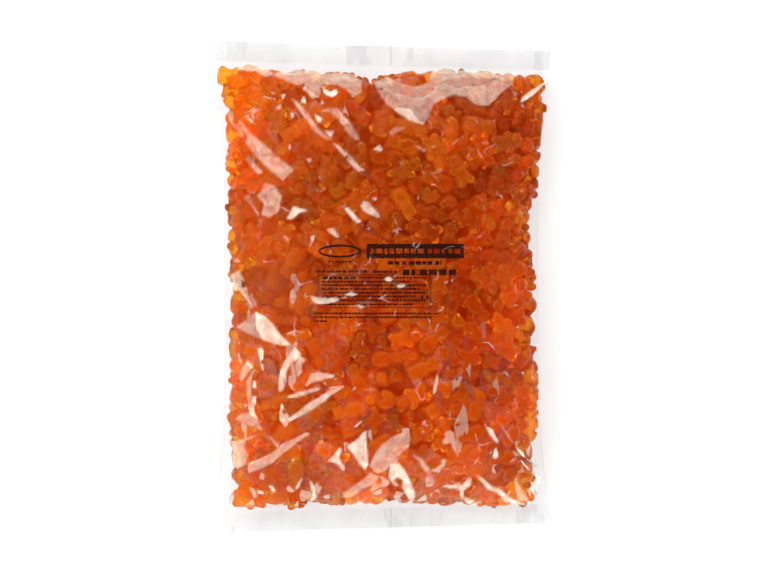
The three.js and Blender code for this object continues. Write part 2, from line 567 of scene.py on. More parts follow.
@dataclass(frozen=True)
class Pillow:
    """The form of the filled bag: the same as the CAD solid's, in millimetres."""

    film_width: float = 235.0
    film_length: float = 336.0
    waist_width: float = 217.0
    top: float = 57.0
    seal_band: float = 13.0
    seal_height: float = 9.0
    edge_height: float = 21.0
    seal_slant: float = 0.021
    flare_reach: float = 50.0
    rise_reach: float = 62.0
    shoulder: float = 66.0
    belly_reach: float = 30.0
    flare_power: float = 1.6
    full_power: float = 2.3
    full_root: float = 0.62
    crown_power: float = 2.5
    belly_power: int = 4
    ripples: tuple[tuple[float, float, float], ...] = ((1.3, 7.3, 0.6), (0.8, 15.1, 2))
    map_margin: float = 10.0
    map_rounds: int = 4
    closing: float = 2.0
    head_fill: tuple[tuple[float, float], ...] = (
        (-113, 150), (-88, 151.5), (-80, 148), (-72, 144), (-63, 145.5), (-47, 145.5), (-38, 142.5),
        (-21, 143), (-13, 137.5), (-5, 137), (3, 140), (11, 143), (19, 146.5), (28, 142.5), (36, 146.5),
        (44, 148.5), (53, 145.5), (78, 146.5), (86, 142.5), (95, 144.5), (103, 143.5), (111, 147),
    )
    foot_fill: tuple[tuple[float, float], ...] = (
        (-97, 150.5), (-88, 151), (-80, 147), (-72, 149), (-63, 149.5), (-55, 148), (-47, 145), (-38, 145),
        (-30, 146), (-21, 147), (-13, 144), (3, 145.5), (11, 143.5), (19, 147.5), (28, 146), (44, 149),
        (53, 147), (61, 145), (70, 149), (78, 150.5), (86, 149.5), (95, 152.5), (103, 150.5),
    )
    left_room: tuple[tuple[float, float], ...] = (
        (-150, 10), (-120, 9), (-105, 7), (-90, 3.5), (-60, 4.5), (-15, 4), (0, 7), (10, 5), (50, 3.2),
        (100, 3.5), (128, 5), (146, 0),
    )
    right_room: tuple[tuple[float, float], ...] = (
        (-150, 8), (-125, 10), (-108, 6), (-90, 3), (-60, 2), (-45, 4), (-15, 2.2), (20, 4), (40, 8),
        (52, 7), (75, 1.2), (110, 0),
    )

    def half_width(self, from_end: Array) -> Array:
        """Returns how far the side fold is from the middle line."""
        flare = np.exp(-((np.maximum(from_end, 0) / self.flare_reach) ** self.flare_power))
        return (self.waist_width + (self.film_width - self.waist_width) * flare) / 2

    def fullness(self, from_end: Array) -> Array:
        """Returns how full the bag is there, from 0 in the seal to 1."""
        inside = np.clip((from_end - self.seal_band) / self.shoulder, 0, 1)
        return (1 - (1 - inside) ** self.full_power) ** self.full_root

    def fold_height(self, across: Array, from_end: Array) -> Array:
        """Finds the height of the fold between the upper and the lower film.

        Args:
            across: from -1 at the left fold to 1 at the right one.
            from_end: the distance from the nearer cut edge.

        Returns:
            The height.
        """
        inside = smooth_step(from_end / self.rise_reach)
        ripple = sum(high * np.sin(often * across + start) for high, often, start in self.ripples)
        return self.seal_height + (self.edge_height - self.seal_height) * inside + (1 - inside) * ripple

    def from_end(self, along: Array) -> Array:
        """Returns the distance from the nearer cut edge."""
        return (1 - np.abs(along)) * self.film_length / 2

    def skin(self, across: Array, along: Array, side: int) -> Array:
        """Returns points of the skin.

        Args:
            across: from -1 at the left fold to 1 at the right one.
            along: from -1 at the lower cut edge to 1 at the upper one.
            side: 1 for the upper film and -1 for the lower one.

        Returns:
            The points, with X, Y and Z along the last axis.
        """
        from_end = self.from_end(along)
        full = self.fullness(from_end)
        fold = self.fold_height(across, from_end)
        width = np.clip(np.abs(across), 0, 1)
        crown = (self.top - self.edge_height) * np.sqrt(1 - width**self.crown_power)
        belly = self.belly_reach * np.sqrt(1 - width**self.belly_power)
        reach = crown if side > 0 else belly
        x = across * self.half_width(from_end)
        y = along * (1 - self.seal_slant * across) * self.film_length / 2
        return np.stack([x, y, np.maximum(0, fold + side * full * reach)], -1)

    def _room(self, x: Array, y: Array) -> Array:
        """Returns how wide a strip of empty film there is between the bears and the side fold."""
        left, right = (np.interp(y, *np.transpose(room)) for room in (self.left_room, self.right_room))
        return np.where(x < 0, left, right)

    def inside(self, step: float) -> tuple[HeightField, HeightField]:
        """Maps the upper and the lower skin. Past the folds they cross, so nothing fits there.

        Args:
            step: the distance between the maps' points.

        Returns:
            The map of the upper skin and that of the lower one.
        """
        half_x, half_y = self.film_width / 2 + self.map_margin, self.film_length / 2 + self.map_margin
        x, y = HeightField.places(half_x, half_y, step)
        across = x / (self.film_width / 2)
        for _ in range(self.map_rounds):
            along = y / (self.film_length / 2) / (1 - self.seal_slant * across)
            across = x / self.half_width(self.from_end(along))
        across = x / (self.half_width(self.from_end(along)) - self._room(x, y))
        held_across, held_along = np.clip(across, -1, 1), np.clip(along, -1, 1)
        outside = np.abs(across - held_across) * self.waist_width / 2
        outside = outside + np.abs(along - held_along) * self.film_length / 2
        head, foot = (np.interp(x, *np.transpose(fill)) for fill in (self.head_fill, self.foot_fill))
        outside = outside + np.maximum(np.abs(y) - np.where(y > 0, head, foot), 0)
        low = (float(x[0, 0]), float(y[0, 0]))
        upper = self.skin(held_across, held_along, 1)[..., 2] - self.closing * outside
        lower = self.skin(held_across, held_along, -1)[..., 2] + self.closing * outside
        return HeightField(low, step, upper), HeightField(low, step, lower)


# ---- the bears ------------------------------------------------------------------------------------------


@dataclass(frozen=True)
class Lump:
    """One rounded lump of a bear: its middle and half sizes. A paired one is made on both sides."""

    middle: tuple[float, float, float]
    half: tuple[float, float, float]
    paired: bool = False


@dataclass(frozen=True)
class BearForm:
    """A gummy bear that lies on its back, ears towards +Y and tummy up."""

    lumps: tuple[Lump, ...] = (
        Lump((0, -2.6, 0.0), (5.8, 6.8, 5.0)),
        Lump((0, -3.4, 1.9), (5.1, 5.1, 4.6)),
        Lump((0, -6.6, 0.2), (6.2, 4.7, 4.8)),
        Lump((0, 6.2, 0.2), (5.1, 4.8, 4.8)),
        Lump((0, 4.9, 4.1), (2.5, 2.1, 1.8)),
        Lump((3.2, 9.4, -0.1), (2.2, 2.2, 2.1), paired=True),
        Lump((4.9, 0.9, 2.2), (2.4, 2.8, 2.9), paired=True),
        Lump((3.7, 0.2, 4.2), (2.1, 2.0, 1.7), paired=True),
        Lump((3.3, -8.8, 2.1), (3.0, 3.0, 3.6), paired=True),
        Lump((3.2, -9.4, 4.2), (2.5, 2.1, 2.0), paired=True),
    )
    back: float = -4.6
    voxel: float = 0.5
    softness: int = 10

    def mesh(self, faces: int) -> tuple[Array, Array]:
        """Melts the lumps together.

        Args:
            faces: about how many triangles are wanted.

        Returns:
            The points in millimetres and the triangles.
        """
        shape = bmesh.new()
        for lump in self.lumps:
            for mirror in (1, -1) if lump.paired else (1,):
                x, y, z = lump.middle
                place = Matrix.Translation((x * mirror, y, z)) @ Matrix.Diagonal((*lump.half, 1))
                bmesh.ops.create_icosphere(shape, subdivisions=3, radius=1, matrix=place)
        for vertex in shape.verts:
            vertex.co.z = max(vertex.co.z, self.back)
        data = bpy.data.meshes.new("bear_form")
        shape.to_mesh(data)
        shape.free()
        mould = bpy.data.objects.new("bear_form", data)
        bpy.context.scene.collection.objects.link(mould)
        remesh = mould.modifiers.new("melt", "REMESH")
        remesh.mode, remesh.voxel_size = "VOXEL", self.voxel
        soften = mould.modifiers.new("soften", "SMOOTH")
        soften.factor, soften.iterations = 0.5, self.softness
        fine = self._triangles(mould)[1]
        reduce = mould.modifiers.new("reduce", "DECIMATE")
        reduce.ratio = faces / len(fine)
        points, triangles = self._triangles(mould)
        bpy.data.objects.remove(mould)
        return points, triangles

    @staticmethod
    def _triangles(mould: bpy.types.Object) -> tuple[Array, Array]:
        """Reads an object as its modifiers leave it.

        Args:
            mould: the object.

        Returns:
            The points and the triangles.
        """
        graph = bpy.context.evaluated_depsgraph_get()
        graph.update()
        made = mould.evaluated_get(graph).to_mesh()
        made.calc_loop_triangles()
        points = np.zeros(len(made.vertices) * 3)
        made.vertices.foreach_get("co", points)
        triangles = np.zeros(len(made.loop_triangles) * 3, int)
        made.loop_triangles.foreach_get("vertices", triangles)
        return points.reshape(-1, 3), triangles.reshape(-1, 3)


@dataclass
class BearPile:
    """The loose bears: where each lies once the bag is full."""

    pillow: Pillow
    count: int = 980
    steps: int = 300
    settling: float = 0.005
    cling: float = 0.12
    size_range: tuple[float, float] = (1.02, 1.1)
    start_size: float = 0.5
    growing: float = 0.55
    pair_rounds: int = 6
    pair_margin: float = 2.0
    wall_room: float = 4.0
    seed: int = 7
    balls: tuple[tuple[float, float, float, float], ...] = (
        (0.0, 6.0, 0.2, 5.1),
        (-1.6, 0.8, 0.3, 5.0),
        (1.6, 0.8, 0.3, 5.0),
        (-1.9, -6.4, 0.3, 5.2),
        (1.9, -6.4, 0.3, 5.2),
        (0.0, 9.9, -0.2, 2.6),
    )
    middles: Array = field(init=False)
    turns: Array = field(init=False)
    sizes: Array = field(init=False)

    def settle(self) -> None:
        """Grows the bears from half size, all at once, until they press on each other and on the skin."""
        draw = np.random.default_rng(self.seed)
        upper, lower = self.pillow.inside(MAP_STEP)
        walls = ((upper, upper.normals(), 1), (lower, lower.normals(), -1))
        centres = np.array([ball[:3] for ball in self.balls])
        offset = centres.mean(0)
        local = centres - offset
        radii = np.array([ball[3] for ball in self.balls])
        self.sizes = draw.uniform(*self.size_range, self.count)
        middles = self._scatter(draw, upper, lower)
        turns = self._any_turns(draw)
        owner = np.repeat(np.arange(self.count), len(radii))
        for step in range(self.steps):
            growth = self.start_size + (1 - self.start_size) * step / (self.growing * self.steps)
            grown = min(1.0, growth) * self.sizes
            radius = (radii[None] * grown[:, None]).ravel()
            points = middles[:, None] + np.einsum("bij,kj->bki", turns, local) * grown[:, None, None]
            points = points.reshape(-1, 3)
            if step % self.pair_rounds == 0:
                reach = 2 * radii.max() * float(grown.max()) + self.pair_margin
                first, second = close_pairs(points, owner, reach)
            points[:, 2] -= self.settling
            push_apart(points, radius, first, second)
            for surface, normals, side in walls:
                push_inside(points, radius, surface, normals, side, self.cling)
            points = points.reshape(self.count, -1, 3)
            middles = points.mean(1)
            turns = best_turns(points - middles[:, None], local)
        self.middles = middles - np.einsum("bij,j->bi", turns, offset) * self.sizes[:, None]
        self.turns = turns

    def _scatter(self, draw: np.random.Generator, upper: HeightField, lower: HeightField) -> Array:
        """Finds random places inside the skin, one for each bear.

        Args:
            draw: the random numbers.
            upper: the upper skin's map.
            lower: the lower skin's map.

        Returns:
            The places.
        """
        half = np.array([self.pillow.waist_width / 2, self.pillow.film_length / 2, 0])
        found = np.zeros((0, 3))
        while len(found) < self.count:
            spots = draw.uniform(-1, 1, (self.count, 3)) * half
            spots[:, 2] = draw.uniform(0, self.pillow.top, self.count)
            room_up = upper.at(spots[:, 0], spots[:, 1]) - spots[:, 2]
            room_down = spots[:, 2] - lower.at(spots[:, 0], spots[:, 1])
            free = (room_up > self.wall_room) & (room_down > self.wall_room)
            found = np.vstack([found, spots[free]])
        return found[: self.count]

    def _any_turns(self, draw: np.random.Generator) -> Array:
        """Draws random rotations, one for each bear.

        Args:
            draw: the random numbers.

        Returns:
            The rotation matrices.
        """
        w, x, y, z = normalised(draw.normal(size=(self.count, 4))).T
        rows = [
            [1 - 2 * (y * y + z * z), 2 * (x * y - z * w), 2 * (x * z + y * w)],
            [2 * (x * y + z * w), 1 - 2 * (x * x + z * z), 2 * (y * z - x * w)],
            [2 * (x * z - y * w), 2 * (y * z + x * w), 1 - 2 * (x * x + y * y)],
        ]
        return np.array(rows).transpose(2, 0, 1)

    def placed(self, points: Array, which: Array) -> Array:
        """Returns the points of one bear's mesh, repeated at the place of each bear in which."""
        turned = np.einsum("bij,kj->bki", self.turns[which], points)
        return turned * self.sizes[which, None, None] + self.middles[which, None]


def normalised(vectors: Array) -> Array:
    """Returns the vectors along the last axis at unit length."""
    return vectors / np.maximum(np.linalg.norm(vectors, axis=-1, keepdims=True), 1e-9)


def close_pairs(points: Array, owner: Array, reach: float) -> tuple[Array, Array]:
    """Finds the points that are close together and belong to different bears.

    Args:
        points: the points.
        owner: the bear that each point belongs to.
        reach: how close they have to be.

    Returns:
        The first and the second point of each pair, by number.
    """
    cells = np.floor((points - points.min(0)) / reach).astype(np.int64) + 1
    spans = cells.max(0) + 2
    strides = np.array([1, spans[0], spans[0] * spans[1]])
    keys = cells @ strides
    order = np.argsort(keys, kind="stable")
    ranked = keys[order]
    firsts, seconds = [], []
    for offset in np.ndindex(3, 3, 3):
        shift = int((np.array(offset) - 1) @ strides)
        if shift < 0:
            continue
        start = np.searchsorted(ranked, keys + shift, "left")
        many = np.searchsorted(ranked, keys + shift, "right") - start
        first = np.repeat(np.arange(len(points)), many)
        run = np.repeat(start - np.concatenate([[0], np.cumsum(many)[:-1]]), many)
        second = order[run + np.arange(len(first))]
        keep = owner[first] != owner[second]
        if shift == 0:
            keep &= first < second
        first, second = first[keep], second[keep]
        near = ((points[first] - points[second]) ** 2).sum(1) < reach**2
        firsts.append(first[near])
        seconds.append(second[near])
    return np.concatenate(firsts), np.concatenate(seconds)


def push_apart(points: Array, radius: Array, first: Array, second: Array, haste: float = 1.3) -> None:
    """Moves balls that overlap off each other, in place.

    Args:
        points: the balls' middles.
        radius: their radii.
        first: the first ball of each pair that may touch.
        second: the second one.
        haste: by how much more than the mean of its pushes a ball moves.
    """
    gap = points[first] - points[second]
    apart = np.linalg.norm(gap, axis=1) + 1e-9
    depth = radius[first] + radius[second] - apart
    touching = depth > 0
    i, j = first[touching], second[touching]
    push = gap[touching] / apart[touching, None] * depth[touching, None] / 2
    met = np.bincount(i, minlength=len(points)) + np.bincount(j, minlength=len(points))
    for axis in range(3):
        total = np.bincount(i, push[:, axis], len(points)) - np.bincount(j, push[:, axis], len(points))
        points[:, axis] += total / np.maximum(met, 1) * haste


def push_inside(
    points: Array,
    radius: Array,
    surface: HeightField,
    normals: HeightField,
    side: int,
    cling: float,
    furthest: float = 4.0,
    reach: float = 7.0,
) -> None:
    """Moves balls that stick out of the skin back in, and those just under it a little closer, in place.

    Args:
        points: the balls' middles.
        radius: their radii.
        surface: the skin's height.
        normals: its upward normals.
        side: 1 for the upper skin and -1 for the lower one.
        cling: how far those just under it move.
        furthest: the most that a ball is moved back in.
        reach: how near the skin a ball is just under it.
    """
    outward = normalised(normals.at(points[:, 0], points[:, 1])) * side
    past = (points[:, 2] - surface.at(points[:, 0], points[:, 1])) * side * np.abs(outward[:, 2]) + radius
    shift = np.where(past > 0, np.minimum(past, furthest), np.where(past > -reach, -cling, 0))
    points -= outward * shift[:, None]


def best_turns(points: Array, local: Array) -> Array:
    """Finds the rotations that best carry the local points to the given ones, for all bears at once.

    Args:
        points: each bear's points round its middle.
        local: the points of a bear that is not turned.

    Returns:
        The rotation matrices.
    """
    u, _, v = np.linalg.svd(np.einsum("bki,kj->bij", points, local))
    u[:, :, 2] *= np.linalg.det(u @ v)[:, None]
    return u @ v


# ---- the film -------------------------------------------------------------------------------------------


@dataclass(frozen=True)
class Skin:
    """The pillow's whole skin as one grid that is closed round the bag.

    Columns run up over the bag from the left fold to the right one, and back under it. Rows run from the
    lower cut edge to the upper one.
    """

    points: Array
    outward: Array
    from_end: Array
    top_columns: int

    @classmethod
    def cut(cls, pillow: Pillow, spacing: float, samples: int = 4001) -> "Skin":
        """Cuts the skin of a pillow into a grid.

        Args:
            pillow: the pillow.
            spacing: about how far apart the points are.
            samples: at how many places its arch is measured.

        Returns:
            The skin.
        """
        half = np.linspace(0, 1, samples)
        arch = pillow.skin(half, np.zeros_like(half), 1)
        run = np.concatenate([[0], np.cumsum(np.linalg.norm(np.diff(arch, axis=0), axis=1))])
        steps = int(run[-1] / spacing) // 2 * 2
        right = np.interp(np.linspace(0, run[-1], steps + 1), run, half)
        across = np.concatenate([-right[:0:-1], right])
        along = np.linspace(-1, 1, int(pillow.film_length / spacing) // 2 * 2 + 1)
        grids = np.meshgrid(across, along, indexing="ij")
        upper, lower = (pillow.skin(*grids, side) for side in (1, -1))
        points = np.concatenate([upper, lower[-2:0:-1]])
        tangent = np.roll(points, -1, 0) - np.roll(points, 1, 0)
        outward = normalised(np.cross(tangent, np.gradient(points, axis=1)))
        return cls(points, outward, pillow.from_end(along), len(across))

    def lifted(self, height: Array) -> Array:
        """Returns the skin's points moved outwards by height."""
        return self.points + self.outward * height[..., None]


@dataclass(frozen=True)
class Bulk:
    """All the bears as one solid that rays can be sent to."""

    tree: BVHTree

    @classmethod
    def of(cls, pieces: Iterable[tuple[Array, Array]]) -> "Bulk":
        """Joins several meshes into one bulk.

        Args:
            pieces: the points in millimetres and the triangles of each mesh.

        Returns:
            The bulk.
        """
        points, triangles, used = [], [], 0
        for piece_points, piece_triangles in pieces:
            points += piece_points.tolist()
            triangles += (piece_triangles + used).tolist()
            used = len(points)
        return cls(BVHTree.FromPolygons(points, triangles))

    def height_over(self, skin: Skin, above: float = 10.0, below: float = 14.0) -> Array:
        """Finds how far the bears stand out of the skin.

        Args:
            skin: the skin.
            above: how far out of the skin the rays start.
            below: how far into it they go.

        Returns:
            The height at each point, and minus below where a ray meets no bear.
        """
        starts = (skin.points + skin.outward * above).reshape(-1, 3).tolist()
        towards = (-skin.outward).reshape(-1, 3).tolist()
        reach = above + below
        hits = (self.tree.ray_cast(start, way, reach)[3] for start, way in zip(starts, towards))
        heights = [above - hit if hit is not None else -below for hit in hits]
        return np.array(heights).reshape(skin.points.shape[:2])


def rolled(
    values: Array, radius: float, spacing: float, furthest: float = 55.0, deepest: float = 14.0
) -> Array:
    """Closes the hollows of a height map, as if a ball had been rolled over it.

    Args:
        values: the heights on a grid that is closed along its first axis.
        radius: the ball's radius.
        spacing: the distance between the grid's points.
        furthest: how far the ball is felt at most.
        deepest: the depth of the deepest hollow.

    Returns:
        The closed heights: hollows are spanned and crests are kept.
    """
    reach = int(min(furthest, math.sqrt(2 * radius * deepest)) / spacing)
    drops = [(step * spacing) ** 2 / (2 * radius) for step in range(1, reach + 1)]
    for sign in (1, -1):
        lifted = values * sign
        around = lifted.copy()
        for step, drop in enumerate(drops, 1):
            for shift in (step, -step):
                np.maximum(around, np.roll(lifted, shift, 0) - drop, out=around)
        best = around.copy()
        for step, drop in enumerate(drops, 1):
            np.maximum(best[:, step:], around[:, :-step] - drop, out=best[:, step:])
            np.maximum(best[:, :-step], around[:, step:] - drop, out=best[:, :-step])
        values = best * sign
    return values


def softened(values: Array, rounds: int = 1) -> Array:
    """Eases the sharpest corners of a height map that is closed along its first axis.

    Args:
        values: the heights.
        rounds: how often it is done.

    Returns:
        The eased heights.
    """
    for _ in range(rounds):
        values = (np.roll(values, 1, 0) + 2 * values + np.roll(values, -1, 0)) / 4
        padded = np.pad(values, ((0, 0), (1, 1)), mode="edge")
        values = (padded[:, :-2] + 2 * padded[:, 1:-1] + padded[:, 2:]) / 4
    return values


class Gloss(Enum):
    """How strongly a panel of film mirrors, as the number of its loose layers suggests."""

    FAINT = 0.05
    SOFT = 0.105
    HAZE = 0.15
    SHEEN = 0.22
    GLINT = 0.32
    BRIGHT = 0.46


class Facing(Enum):
    """Which way a panel of film is tilted, as slopes along X and Y, or None for the way that it lies."""

    LOOSE = None
    HEAD = (0.07, -0.22)
    CORNER = (0.17, -0.17)
    FOOT = (0.0, 0.22)


@dataclass(frozen=True)
class Panel:
    """A part of the film that has lifted off the bears between creases."""

    gloss: Gloss
    facing: Facing
    outline: tuple[tuple[float, float], ...]

    def cover(self, x: Array, y: Array, spread: float) -> Array:
        """Returns how much of the panel there is round each place, from 0 to 1."""
        offsets = (-spread / 3, 0.0, spread / 3)
        return sum(self._holds(x + dx, y + dy) for dx in offsets for dy in offsets) / 9

    def _holds(self, x: Array, y: Array) -> Array:
        """Tells whether each place is inside the outline.

        Args:
            x: the X of the places.
            y: their Y.

        Returns:
            True inside it.
        """
        inside = np.zeros(x.shape, bool)
        ends = self.outline[1:] + self.outline[:1]
        for (x0, y0), (x1, y1) in zip(self.outline, ends):
            if y0 != y1:
                inside ^= ((y0 > y) != (y1 > y)) & (x < (x1 - x0) * (y - y0) / (y1 - y0) + x0)
        return inside


